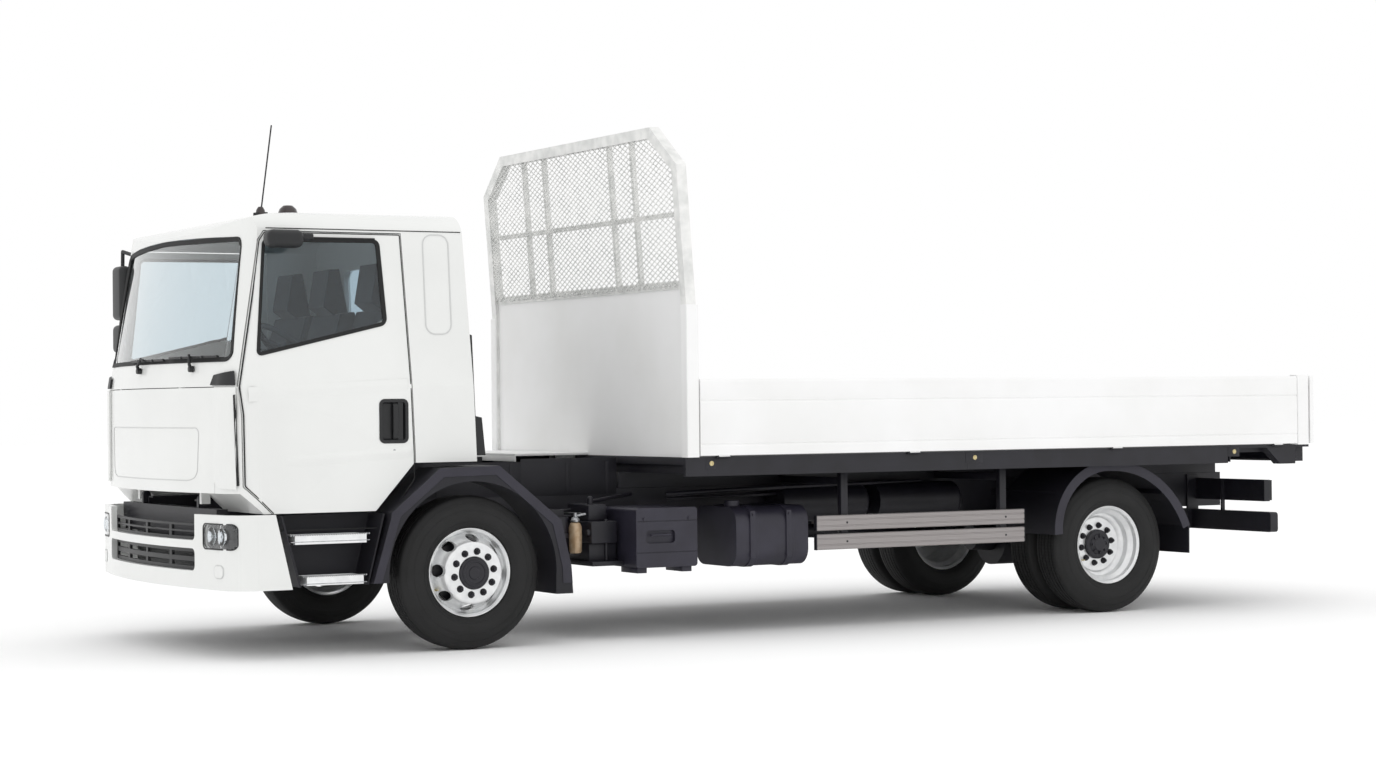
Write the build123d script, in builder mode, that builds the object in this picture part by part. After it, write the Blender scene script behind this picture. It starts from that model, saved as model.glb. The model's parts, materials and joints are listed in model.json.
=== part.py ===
"""A two-axle flatbed truck with a tilting day cab, a headboard with a mesh screen and drop sides.

Millimetres, +Z up, floor at z = 0, the cab towards -X and the truck's left side towards -Y.
The origin is on the floor, midway along the length and the width.
"""
import os
from math import cos, radians, sin, tan

from build123d import *

os.makedirs("parts", exist_ok=True)

# Driving sizes of the whole vehicle
front_overhang = 1420
wheelbase = 4200
rear_overhang = 1495
body_half_width = 1250
cab_half_width = 1075
tyre_diameter = 810

overall_length = front_overhang + wheelbase + rear_overhang
front_axle_x = front_overhang - overall_length / 2
rear_axle_x = front_axle_x + wheelbase
tail_x = rear_axle_x + rear_overhang
axle_z = tyre_diameter / 2

# Clearances
panel_gap = 6
seat_gap = 0.3
pin_gap = 0.5

# Wheels and tyres
tyre_width = 236
rim_flange_radius = 233
rim_seat_radius = 222
rim_well_radius = 196
wheel_outer_y = 1116
twin_gap = 26
hub_radius = 84
drum_radius = 172
stud_circle_radius = 114
stud_count = 10
stud_radius = 13
hand_hole_count = 8
hand_hole_radius = 179
hand_hole_size = 20
spindle_radius = 30
kingpin_y = 872
kingpin_radius = 20

# Chassis rails
rail_outer_y = 425
rail_flange = 75
rail_web = 8
rail_bottom_z = 585
rail_top_z = 800
rail_front_x = front_axle_x - 1240
rail_rear_x = tail_x - 75

# Load body
floor_top_z = 985
floor_thickness = 42
sill_height = 92
bearer_height = floor_top_z - floor_thickness - rail_top_z - sill_height
board_height = 425
board_thickness = 28
board_hinge_lift = 8
post_size = 75
headboard_x = front_axle_x + 1227
rear_post_length = 90
tailboard_thickness = 36
board_front_x = headboard_x + post_size + panel_gap
board_rear_x = tail_x - tailboard_thickness - panel_gap - rear_post_length - panel_gap
board_outer_y = body_half_width
screen_lean = 4
screen_tube = 60
screen_bar = 26
screen_top_z = 2800
screen_cut_z = 2575
screen_top_y = 960
screen_outer_y = 1235
rail_screen_z = 1925
screen_mid_z = 2310
mesh_thickness = 4
mesh_pitch_y = 230
mesh_pitch_z = 150
mesh_strand = 16

# Cab
wall = 40
belt_z = 1385
windscreen_lean = 9.5
hood_bottom_z = 845
cab_floor_z = 985
door_bottom_z = 741
seam_z = 2190
roof_side_y = 1012
cab_rear_x = front_axle_x + 56
cab_rear_lean = 51
cab_front_x = front_axle_x - 1405
tunnel_half_width = 500
glass_thickness = 5
glass_depth = 9
cab_pivot_x = front_axle_x - 1240
cab_pivot_z = 805
tunnel_front_x = front_axle_x - 1264
hood_depth = 137
door_front_x = front_axle_x - 1220
door_rear_x = front_axle_x - 298

# Bumper
bumper_front_x = front_axle_x - front_overhang
bumper_half_width = 1118
bumper_bottom_z = 358
bumper_top_z = 738
bumper_wall = 32


def finish(node, name):
    node.part.label = name
    export_step(node.part, f"parts/{name}.step")


def block(x, y, z, mode=Mode.ADD):
    """A box between two limits along each axis, in the builder that is open."""
    with Locations(((x[0] + x[1]) / 2, (y[0] + y[1]) / 2, (z[0] + z[1]) / 2)):
        Box(abs(x[1] - x[0]), abs(y[1] - y[0]), abs(z[1] - z[0]), mode=mode)


def rod(start, end, radius, mode=Mode.ADD):
    """A round bar from one point to another, in the builder that is open."""
    axis = Vector(*end) - Vector(*start)
    with Locations(Plane(origin=Vector(*start) + axis * 0.5, z_dir=axis)):
        Cylinder(radius, axis.length, mode=mode)


def from_front(points):
    """Points given as distances from the front axle, moved to the truck's own frame."""
    return [(front_axle_x + x, z) for x, z in points]


# Cab forms

def cab_plan(inset):
    """The cab's bowed plan outline, drawn at the belt line."""
    corner_x = cab_front_x + 262
    shoulder_x = cab_front_x + 105
    shoulder_y = cab_half_width - 175
    with BuildSketch() as plan:
        with BuildLine():
            ThreePointArc((shoulder_x, -shoulder_y), (cab_front_x, 0), (shoulder_x, shoulder_y))
            ThreePointArc((shoulder_x, shoulder_y), (cab_front_x + 165, cab_half_width - 45),
                          (corner_x, cab_half_width))
            Polyline((corner_x, cab_half_width), (cab_rear_x + 400, cab_half_width),
                     (cab_rear_x + 400, -cab_half_width), (corner_x, -cab_half_width))
            ThreePointArc((corner_x, -cab_half_width), (cab_front_x + 165, 45 - cab_half_width),
                          (shoulder_x, -shoulder_y))
        make_face()
        if inset:
            offset(amount=-inset)
    return plan.sketch


def cab_form(inset):
    """The closed solid inside the cab's outer skin, or inset from it by a wall's thickness."""
    lean = tan(radians(windscreen_lean))
    crown_front_x = front_axle_x - 1000
    rear_top_x = cab_rear_x - cab_rear_lean
    with BuildPart() as form:
        with BuildSketch(Plane.XY.offset(belt_z)):
            add(cab_plan(inset))
        extrude(amount=-(belt_z - 600))
        with BuildSketch(Plane.XY.offset(belt_z)):
            add(cab_plan(inset))
        extrude(amount=1000, dir=(lean, 0, 1))
        with BuildSketch(Plane.XZ):
            with BuildLine():
                Polyline((crown_front_x - 500, hood_bottom_z), (crown_front_x - 500, 2085),
                         (front_axle_x - 1290, 2165))
                ThreePointArc((front_axle_x - 1290, 2165), (front_axle_x - 1165, 2237), (crown_front_x, 2272))
                ThreePointArc((crown_front_x, 2272), (front_axle_x - 500, 2292), (rear_top_x, 2278))
                Polyline((rear_top_x, 2278), (cab_rear_x, cab_floor_z), (front_axle_x - 300, cab_floor_z),
                         (front_axle_x - 517, door_bottom_z), (front_axle_x - 1125, door_bottom_z),
                         (front_axle_x - 1235, hood_bottom_z), (crown_front_x - 500, hood_bottom_z))
            make_face()
            if inset:
                offset(amount=-inset)
        extrude(amount=cab_half_width + 200, both=True, mode=Mode.INTERSECT)
        with BuildSketch(Plane.YZ.offset(front_axle_x)):
            with BuildLine():
                Polyline((-roof_side_y, seam_z), (-cab_half_width, belt_z), (-cab_half_width, 600),
                         (cab_half_width, 600), (cab_half_width, belt_z), (roof_side_y, seam_z))
                ThreePointArc((roof_side_y, seam_z), (roof_side_y - 48, seam_z + 62), (roof_side_y - 160, seam_z + 88))
                ThreePointArc((roof_side_y - 160, seam_z + 88), (0, seam_z + 112), (160 - roof_side_y, seam_z + 88))
                ThreePointArc((160 - roof_side_y, seam_z + 88), (48 - roof_side_y, seam_z + 62), (-roof_side_y, seam_z))
            make_face()
            if inset:
                offset(amount=-inset)
        extrude(amount=3000, both=True, mode=Mode.INTERSECT)
        block((tunnel_front_x - inset, front_axle_x - 250), (-tunnel_half_width - inset, tunnel_half_width + inset),
              (500, cab_floor_z + inset), mode=Mode.SUBTRACT)
    return form.part


cab_outer = cab_form(0)
cab_inner = cab_form(wall)
glass_outer = cab_form(glass_depth)
glass_inner = cab_form(glass_depth + glass_thickness)

door_outline = from_front([
    (-1121, 2128), (-1090, 2172), (-345, 2172), (-298, 1035), (-297, 900), (-480, 650),
    (-1076, 650), (-1076, 741), (-1218, 881), (-1222, 1242), (-1239, 1385)])
window_outline = from_front([
    (-1098, 2120), (-1075, 2136), (-482, 2140), (-466, 2120), (-441, 1734), (-513, 1687),
    (-1118, 1545), (-1146, 1580)])


def windscreen_face(shrink):
    """The windscreen's front outline, or one smaller by a gap all round."""
    top_y = 915 - shrink
    bottom_y = 985 - shrink
    low_z = 1515 + shrink
    high_z = 2150 - shrink
    corner = 45
    crown = 20
    with BuildSketch() as outline:
        with BuildLine():
            Polyline((corner - top_y, high_z), (-top_y, high_z - corner), (-bottom_y, low_z + corner),
                     (corner - bottom_y, low_z), (bottom_y - corner, low_z), (bottom_y, low_z + corner),
                     (top_y, high_z - corner), (top_y - corner, high_z))
            ThreePointArc((top_y - corner, high_z), (0, high_z + crown), (corner - top_y, high_z))
        make_face()
    return outline.sketch


def door_prism(side, grow, depth):
    """The space of a door seen from the side; side is -1 on the left and 1 on the right."""
    reach = cab_half_width + 60
    with BuildPart() as prism:
        with BuildSketch(Plane.XZ.offset(-side * reach)):
            Polygon(*door_outline, align=None)
            if grow:
                offset(amount=grow, kind=Kind.INTERSECTION)
        extrude(amount=side * (reach - cab_half_width + depth))
    return prism.part


def door_space(side, grow, lower_depth, upper_depth):
    """The door's space, deeper above the belt line, where the side leans in."""
    with BuildPart() as space:
        add(door_prism(side, grow, upper_depth))
        block((front_axle_x - 1400, front_axle_x), (side * (cab_half_width - lower_depth), 0), (600, belt_z),
              mode=Mode.SUBTRACT)
    return space.part


def window_prism(side, grow):
    with BuildPart() as prism:
        with BuildSketch(Plane.XZ.offset(-side * (cab_half_width + 60))):
            Polygon(*window_outline, align=None)
            if grow:
                offset(amount=grow)
        extrude(amount=side * 300)
    return prism.part


# Doors: slabs of the cab's own wall, cut along the seams, with the window opening and the grip recess
handle_front_x = front_axle_x - 489
handle_rear_x = front_axle_x - 338
handle_bottom_z = 1093
handle_top_z = 1311
handle_depth = 22
for side, name in [(-1, "door_left"), (1, "door_right")]:
    with BuildPart() as door:
        add(cab_outer)
        add(cab_inner, mode=Mode.SUBTRACT)
        add(door_space(side, 0, wall, wall + 110), mode=Mode.INTERSECT)
        add(window_prism(side, 0), mode=Mode.SUBTRACT)
        with BuildSketch(Plane.XZ.offset(-side * (cab_half_width + 10))):
            with Locations(((handle_front_x + handle_rear_x) / 2, (handle_bottom_z + handle_top_z) / 2)):
                RectangleRounded(handle_rear_x - handle_front_x, handle_top_z - handle_bottom_z, 22)
        extrude(amount=side * (handle_depth + 10), mode=Mode.SUBTRACT)
        grip_x = (handle_front_x + handle_rear_x) / 2 + 38
        block((grip_x - 14, grip_x + 14), (side * (cab_half_width - 10), side * (cab_half_width - 2)),
              (handle_bottom_z - 5, handle_top_z + 5))
    finish(door, name)

    with BuildPart() as glass:
        add(glass_outer)
        add(glass_inner, mode=Mode.SUBTRACT)
        add(window_prism(side, -seat_gap), mode=Mode.INTERSECT)
    finish(glass, name.replace("door", "door_glass"))

# Front panel below the windscreen, which lifts for service but is held shut here
hood_half_width = 862
hood_top_z = 1383
hood_seam_gap = 4


def hood_space(grow):
    """The front panel's space, grown by a gap all round; the engine tunnel's wall isn't in it."""
    beside = wall + panel_gap - grow
    with BuildPart() as space:
        block((cab_front_x - 50, cab_front_x + hood_depth + grow), (-hood_half_width - grow, hood_half_width + grow),
              (hood_bottom_z - 50, hood_top_z + grow))
        block((tunnel_front_x - beside, front_axle_x), (-tunnel_half_width - beside, tunnel_half_width + beside),
              (hood_bottom_z - 60, cab_floor_z + beside), mode=Mode.SUBTRACT)
    return space.part


with BuildPart() as front_panel:
    add(cab_outer)
    add(cab_inner, mode=Mode.SUBTRACT)
    add(hood_space(0), mode=Mode.INTERSECT)
    for side in (-1, 1):
        block((front_axle_x - 1366, front_axle_x - 1342), (side * 480, side * 520),
              (hood_top_z - 20, hood_top_z + hood_seam_gap - seat_gap))
finish(front_panel, "front_panel")

# Roof skin above the side seam
with BuildPart() as cab_roof:
    add(cab_outer)
    add(cab_inner, mode=Mode.SUBTRACT)
    block((cab_front_x - 50, cab_rear_x + 50), (-1200, 1200), (seam_z, 2500), mode=Mode.INTERSECT)
finish(cab_roof, "cab_roof")

# Cab shell: what is left of the wall once doors, front panel, roof and windows are out of it
rear_window_half_width = 560
rear_window_bottom_z = 1560
rear_window_top_z = 2060
with BuildPart() as cab_shell:
    add(cab_outer)
    add(cab_inner, mode=Mode.SUBTRACT)
    for side in (-1, 1):
        add(door_space(side, panel_gap, wall + panel_gap, wall + 120), mode=Mode.SUBTRACT)
    add(hood_space(hood_seam_gap), mode=Mode.SUBTRACT)
    block((cab_front_x - 50, cab_rear_x + 50), (-1200, 1200), (seam_z, 2500), mode=Mode.SUBTRACT)
    with BuildSketch(Plane.YZ.offset(cab_front_x - 20)):
        add(windscreen_face(0))
    extrude(amount=450, mode=Mode.SUBTRACT)
    with BuildSketch(Plane.YZ.offset(cab_rear_x - 200)):
        with Locations((0, (rear_window_bottom_z + rear_window_top_z) / 2)):
            RectangleRounded(2 * rear_window_half_width, rear_window_top_z - rear_window_bottom_z, 60)
    extrude(amount=400, mode=Mode.SUBTRACT)
    for side in (-1, 1):
        block((cab_pivot_x - 24, cab_pivot_x + 24), (side * tunnel_half_width, side * (tunnel_half_width + 30)),
              (cab_pivot_z - 24, hood_bottom_z + 20))
finish(cab_shell, "cab_shell")

with BuildPart() as cab_glass:
    add(glass_outer)
    add(glass_inner, mode=Mode.SUBTRACT)
    with BuildSketch(Plane.YZ.offset(cab_front_x - 20)):
        add(windscreen_face(seat_gap))
    extrude(amount=450, mode=Mode.INTERSECT)
finish(cab_glass, "windscreen")

with BuildPart() as rear_window:
    add(glass_outer)
    add(glass_inner, mode=Mode.SUBTRACT)
    with BuildSketch(Plane.YZ.offset(cab_rear_x - 200)):
        with Locations((0, (rear_window_bottom_z + rear_window_top_z) / 2)):
            RectangleRounded(2 * (rear_window_half_width - seat_gap),
                             rear_window_top_z - rear_window_bottom_z - 2 * seat_gap, 60)
    extrude(amount=400, mode=Mode.INTERSECT)
finish(rear_window, "rear_window")


# Cab trims: black corner pieces below the windscreen, and the raised corner deflectors under them
trim_inner_y = 845
trim_thickness = 14


def skin(inner, outer):
    """A layer over the cab's outer surface, from one offset outwards to another."""
    with BuildPart() as layer:
        add(cab_form(-outer))
        add(cab_form(-inner), mode=Mode.SUBTRACT)
    return layer.part


corner_layer = skin(seat_gap, trim_thickness)
corner_rear_x = door_front_x - 34
with BuildPart() as corner_trims:
    add(corner_layer)
    with BuildSketch(Plane.YZ.offset(cab_front_x - 50)):
        for side in (-1, 1):
            Polygon((side * trim_inner_y, belt_z + 10), (side * (trim_inner_y + 20), belt_z + 62),
                    (side * (cab_half_width + 30), belt_z + 92), (side * (cab_half_width + 30), belt_z + 6),
                    align=None)
    extrude(amount=corner_rear_x - cab_front_x + 50, mode=Mode.INTERSECT)
finish(corner_trims, "corner_trims")

with BuildPart() as corner_panels:
    add(corner_layer)
    with BuildSketch(Plane.YZ.offset(cab_front_x - 50)):
        for side in (-1, 1):
            Polygon((side * (trim_inner_y + 22), belt_z - 2), (side * (trim_inner_y + 22), 930),
                    (side * (trim_inner_y + 60), 875), (side * (cab_half_width + 30), 860),
                    (side * (cab_half_width + 30), belt_z - 2), align=None)
    extrude(amount=corner_rear_x - cab_front_x + 50, mode=Mode.INTERSECT)
finish(corner_panels, "corner_panels")


# Bumper

def bumper_form(inset):
    """The bumper's bowed plan as a tall solid, or inset from it."""
    shoulder_x = bumper_front_x + 100
    shoulder_y = bumper_half_width - 185
    corner_x = bumper_front_x + 250
    with BuildPart() as form:
        with BuildSketch(Plane.XY.offset(bumper_bottom_z)):
            with BuildLine():
                ThreePointArc((shoulder_x, -shoulder_y), (bumper_front_x, 0), (shoulder_x, shoulder_y))
                ThreePointArc((shoulder_x, shoulder_y), (bumper_front_x + 158, bumper_half_width - 46),
                              (corner_x, bumper_half_width))
                Polyline((corner_x, bumper_half_width), (front_axle_x - 900, bumper_half_width),
                         (front_axle_x - 900, -bumper_half_width), (corner_x, -bumper_half_width))
                ThreePointArc((corner_x, -bumper_half_width), (bumper_front_x + 158, 46 - bumper_half_width),
                              (shoulder_x, -shoulder_y))
            make_face()
            if inset:
                offset(amount=-inset)
        extrude(amount=bumper_top_z - bumper_bottom_z)
        with BuildSketch(Plane.XZ):
            Polygon((bumper_front_x - 50, bumper_bottom_z), (front_axle_x - 990, bumper_bottom_z),
                    (front_axle_x - 1077, bumper_top_z), (bumper_front_x - 50, bumper_top_z), align=None)
        extrude(amount=bumper_half_width + 50, both=True, mode=Mode.INTERSECT)
    return form.part


grille_half_width = 705
bar_bottom_z = 572
bar_top_z = 604
low_opening_z = (448, 562)
lamp_y = (800, 1072)
lamp_z = (568, 690)
lamp_depth = 22
bumper_outer = bumper_form(0)
bumper_inner = bumper_form(bumper_wall)


def lamp_face(shrink):
    """Both headlamp openings seen from the front, blunt towards the middle and round at the corner."""
    with BuildSketch() as outline:
        for side in (-1, 1):
            with Locations((side * (lamp_y[0] + lamp_y[1]) / 2, (lamp_z[0] + lamp_z[1]) / 2)):
                RectangleRounded(lamp_y[1] - lamp_y[0] - 2 * shrink, lamp_z[1] - lamp_z[0] - 2 * shrink, 32)
    return outline.sketch


with BuildPart() as bumper:
    add(bumper_outer)
    add(bumper_inner, mode=Mode.SUBTRACT)
    with BuildSketch(Plane.YZ.offset(bumper_front_x - 20)):
        with Locations((0, sum(low_opening_z) / 2)):
            RectangleRounded(2 * grille_half_width, low_opening_z[1] - low_opening_z[0], 28)
        with Locations((0, (bar_top_z + bumper_top_z + 60) / 2)):
            RectangleRounded(2 * grille_half_width, bumper_top_z + 60 - bar_top_z, 28)
        add(lamp_face(0))
    extrude(amount=330, mode=Mode.SUBTRACT)
    for side in (-1, 1):
        block((bumper_front_x + 80, rail_front_x - 30 - seat_gap), (side * 742, side * 772), (612, 668))
finish(bumper, "bumper")

with BuildPart() as headlamps:
    add(bumper_outer)
    add(bumper_form(lamp_depth), mode=Mode.SUBTRACT)
    with BuildSketch(Plane.YZ.offset(bumper_front_x - 20)):
        add(lamp_face(seat_gap))
    extrude(amount=330, mode=Mode.INTERSECT)
finish(headlamps, "headlamps")

louvre_count = 4
louvre_height = 22
with BuildPart() as bumper_grille:
    add(bumper_form(bumper_wall + seat_gap))
    add(bumper_form(bumper_wall + 16), mode=Mode.SUBTRACT)
    block((bumper_front_x, bumper_front_x + 200), (-grille_half_width - 30, grille_half_width + 30),
          (low_opening_z[0] - 24, 688), mode=Mode.INTERSECT)
    with BuildSketch(Plane.YZ.offset(bumper_front_x - 20)):
        for low_z, high_z in [(low_opening_z[0] + 8, low_opening_z[1] - 8), (bar_top_z + 10, 680)]:
            slot_pitch = (high_z - low_z) / 2
            with GridLocations(2 * grille_half_width / louvre_count, slot_pitch, louvre_count, 2):
                with Locations((0, (low_z + high_z) / 2)):
                    Rectangle(2 * grille_half_width / louvre_count - 34, louvre_height)
    extrude(amount=300, mode=Mode.SUBTRACT)
finish(bumper_grille, "bumper_grille")

# Chassis frame: two channel rails with tubular and pressed cross members
cross_tube_radius = 42
cross_tube_x = [front_axle_x + 700, front_axle_x + 1650, front_axle_x + 2600, rear_axle_x - 560,
                rear_axle_x + 560]
with BuildPart() as chassis_frame:
    with BuildSketch(Plane.YZ.offset(rail_front_x)):
        for side in (-1, 1):
            outer = side * rail_outer_y
            inner = side * (rail_outer_y - rail_flange)
            web = side * (rail_outer_y - rail_web)
            Polygon((outer, rail_bottom_z), (outer, rail_top_z), (inner, rail_top_z),
                    (inner, rail_top_z - rail_web), (web, rail_top_z - rail_web),
                    (web, rail_bottom_z + rail_web), (inner, rail_bottom_z + rail_web),
                    (inner, rail_bottom_z), align=None)
    extrude(amount=rail_rear_x - rail_front_x)
    for x in cross_tube_x:
        rod((x, -(rail_outer_y - rail_web), 742), (x, rail_outer_y - rail_web, 742), cross_tube_radius)
    block((rail_front_x - 30, rail_front_x + 30), (-780, 780), (610, 760))
    for side in (-1, 1):
        block((cab_pivot_x - 22, cab_pivot_x + 22), (side * 448, side * 478), (740, cab_pivot_z))
        rod((cab_pivot_x, side * 448, cab_pivot_z), (cab_pivot_x, side * 478, cab_pivot_z), 22)
        rod((cab_pivot_x, side * 448, cab_pivot_z), (cab_pivot_x, side * (tunnel_half_width - seat_gap), cab_pivot_z),
            14)
        block((front_axle_x - 110, front_axle_x - 30), (side * (rail_outer_y - 60), side * rail_outer_y),
              (rail_top_z - rail_web, cab_floor_z - seat_gap))
    block((rail_rear_x - 8, rail_rear_x + 18), (-rail_outer_y, rail_outer_y), (rail_bottom_z, rail_top_z))
finish(chassis_frame, "chassis_frame")

# Body subframe: a sill on each rail and cross bearers under the floor
sill_front_x = headboard_x + 10
sill_width = 60
bearer_width = 50
bearer_count = 9
bearer_reach = 1195
bearer_front_x = headboard_x + 60
bearer_rear_x = tail_x - 125
with BuildPart() as body_subframe:
    for side in (-1, 1):
        block((sill_front_x, rail_rear_x - 20), (side * (rail_outer_y - sill_width), side * rail_outer_y),
              (rail_top_z, rail_top_z + sill_height))
    for index in range(bearer_count):
        x = bearer_front_x + index * (bearer_rear_x - bearer_front_x) / (bearer_count - 1)
        with BuildSketch(Plane.XZ.offset(-bearer_reach)):
            low = rail_top_z + sill_height
            high = floor_top_z - floor_thickness
            Polygon((x - bearer_width / 2, low), (x + bearer_width / 2, low), (x + bearer_width / 2, low + 7),
                    (x - bearer_width / 2 + 7, low + 7), (x - bearer_width / 2 + 7, high - 7),
                    (x + bearer_width / 2, high - 7), (x + bearer_width / 2, high),
                    (x - bearer_width / 2, high), align=None)
        extrude(amount=2 * bearer_reach)
finish(body_subframe, "body_subframe")

# Load floor with its edge rails and the fixed ears of the board hinges
hinge_inset = 10
hinge_edge_gap = 15
barrel_radius = 9
pin_radius = 5
ear_radius = 6
ear_width = 10
barrel_length = 70
floor_half_width = body_half_width - hinge_inset - hinge_edge_gap
floor_rear_x = tail_x - hinge_inset - hinge_edge_gap
hinge_y = body_half_width - hinge_inset
hinge_tail_x = tail_x - hinge_inset
hinge_z = floor_top_z
side_hinge_x = [board_front_x + 150, board_front_x + 1400, board_front_x + 2850, board_rear_x - 150]
tail_hinge_y = [-1000, -330, 330, 1000]
edge_rail_depth = 62
edge_rail_width = 45
deck_half_width = 1200
deck_rise = 3
with BuildPart() as load_floor:
    block((headboard_x, floor_rear_x), (-floor_half_width, floor_half_width),
          (floor_top_z - floor_thickness, floor_top_z))
    block((board_front_x, board_rear_x), (-deck_half_width, deck_half_width),
          (floor_top_z - deck_rise, floor_top_z + deck_rise))
    for side in (-1, 1):
        block((headboard_x, floor_rear_x), (side * (bearer_reach + seat_gap), side * floor_half_width),
              (floor_top_z - floor_thickness - edge_rail_depth, floor_top_z))
        for x in side_hinge_x:
            for end in (-1, 1):
                ear_x = x + end * (barrel_length / 2 + pin_gap + ear_width / 2)
                block((ear_x - ear_width / 2, ear_x + ear_width / 2), (side * floor_half_width, side * hinge_y),
                      (hinge_z - ear_radius, hinge_z + ear_radius))
                rod((ear_x - ear_width / 2, side * hinge_y, hinge_z),
                    (ear_x + ear_width / 2, side * hinge_y, hinge_z), ear_radius)
            rod((x - barrel_length / 2 - 2, side * hinge_y, hinge_z),
                (x + barrel_length / 2 + 2, side * hinge_y, hinge_z), pin_radius)
    block((floor_rear_x - 60, floor_rear_x), (-floor_half_width, floor_half_width),
          (floor_top_z - floor_thickness - edge_rail_depth, floor_top_z))
    for y in tail_hinge_y:
        for end in (-1, 1):
            ear_y = y + end * (barrel_length / 2 + pin_gap + ear_width / 2)
            block((floor_rear_x, hinge_tail_x), (ear_y - ear_width / 2, ear_y + ear_width / 2),
                  (hinge_z - ear_radius, hinge_z + ear_radius))
            rod((hinge_tail_x, ear_y - ear_width / 2, hinge_z), (hinge_tail_x, ear_y + ear_width / 2, hinge_z),
                ear_radius)
        rod((hinge_tail_x, y - barrel_length / 2 - 2, hinge_z), (hinge_tail_x, y + barrel_length / 2 + 2, hinge_z),
            pin_radius)
finish(load_floor, "load_floor")


def board_section():
    """A drop side's section: first number outwards from the hinge axis, second upwards."""
    outer = hinge_inset
    groove = hinge_inset - 5
    return [(outer, board_hinge_lift), (outer, 62), (groove, 68), (outer, 74), (outer, 300), (groove, 306),
            (outer, 312), (outer, board_height - 12), (outer - 5, board_height),
            (outer - board_thickness, board_height), (outer - board_thickness, board_hinge_lift)]


for side, name in [(-1, "side_board_left"), (1, "side_board_right")]:
    with BuildPart() as side_board:
        with BuildSketch(Plane.YZ.offset(board_front_x)):
            Polygon(*[(side * (hinge_y + out), hinge_z + up) for out, up in board_section()], align=None)
        extrude(amount=board_rear_x - board_front_x)
        for x in side_hinge_x:
            rod((x - barrel_length / 2, side * hinge_y, hinge_z), (x + barrel_length / 2, side * hinge_y, hinge_z),
                barrel_radius)
            rod((x - barrel_length / 2, side * hinge_y, hinge_z), (x + barrel_length / 2, side * hinge_y, hinge_z),
                pin_radius + seat_gap, mode=Mode.SUBTRACT)
    finish(side_board, name)

tailboard_half_width = body_half_width - 5
with BuildPart() as tailboard:
    with BuildSketch(Plane.XZ.offset(-tailboard_half_width)):
        Polygon(*[(hinge_tail_x + out, hinge_z + up) for out, up in board_section()], align=None)
    extrude(amount=2 * tailboard_half_width)
    for y in tail_hinge_y:
        rod((hinge_tail_x, y - barrel_length / 2, hinge_z), (hinge_tail_x, y + barrel_length / 2, hinge_z),
            barrel_radius)
        rod((hinge_tail_x, y - barrel_length / 2, hinge_z), (hinge_tail_x, y + barrel_length / 2, hinge_z),
            pin_radius + seat_gap, mode=Mode.SUBTRACT)
finish(tailboard, "tailboard")

# Rear corner posts on the floor
with BuildPart() as rear_posts:
    for side in (-1, 1):
        with BuildSketch(Plane.XY.offset(floor_top_z)):
            with Locations((board_rear_x + panel_gap + rear_post_length / 2,
                            side * (body_half_width - post_size / 2))):
                RectangleRounded(rear_post_length, post_size, 8)
        extrude(amount=board_height + 8)
finish(rear_posts, "rear_posts")

# Headboard: posts, sheet, rail and the leaning tube frame of the screen
lower_post_top_z = 1815
screen_plane = Plane(origin=(headboard_x + post_size / 2, 0, lower_post_top_z - 15), x_dir=(0, 1, 0),
                     z_dir=(cos(radians(screen_lean)), 0, sin(radians(screen_lean))))


def screen_up(z):
    """Distance up the leaning screen's plane to a height above the floor."""
    return (z - lower_post_top_z + 15) / cos(radians(screen_lean))


def screen_outline(inset, low_z):
    """The screen's outline with its two cut corners, inset by a distance."""
    turn = inset * tan(radians(25))
    return [(-screen_outer_y + inset, screen_up(low_z)), (-screen_outer_y + inset, screen_up(screen_cut_z) - turn),
            (-screen_top_y + turn, screen_up(screen_top_z) - inset),
            (screen_top_y - turn, screen_up(screen_top_z) - inset),
            (screen_outer_y - inset, screen_up(screen_cut_z) - turn), (screen_outer_y - inset, screen_up(low_z))]


with BuildPart() as headboard:
    with BuildSketch(Plane.XY.offset(floor_top_z)):
        with GridLocations(1, 2 * body_half_width - post_size, 1, 2):
            with Locations((headboard_x + post_size / 2, 0)):
                RectangleRounded(post_size, post_size, 8)
    extrude(amount=lower_post_top_z - floor_top_z)
    block((headboard_x + 24, headboard_x + 34), (post_size - body_half_width, body_half_width - post_size),
          (floor_top_z, rail_screen_z - 15))
    for y in (-690, -230, 230, 690):
        block((headboard_x + 34, headboard_x + 60), (y - 20, y + 20), (floor_top_z, rail_screen_z - 15))
    with BuildSketch(screen_plane):
        Polygon(*screen_outline(0, lower_post_top_z - 15), align=None)
        Polygon(*screen_outline(screen_tube, lower_post_top_z - 30), align=None, mode=Mode.SUBTRACT)
    extrude(amount=screen_tube / 2, both=True)
    with BuildSketch(screen_plane):
        for z, height in [(rail_screen_z, 46), (screen_mid_z, screen_bar)]:
            with Locations((0, screen_up(z))):
                Rectangle(2 * (screen_outer_y - screen_tube), height)
        for y in (-690, -420, 420, 690):
            with Locations((y, (screen_up(rail_screen_z) + screen_up(screen_top_z)) / 2 - 10)):
                Rectangle(screen_bar, screen_up(screen_top_z) - screen_up(rail_screen_z) - 20)
    extrude(amount=screen_bar / 2, both=True)
finish(headboard, "headboard")

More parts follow.
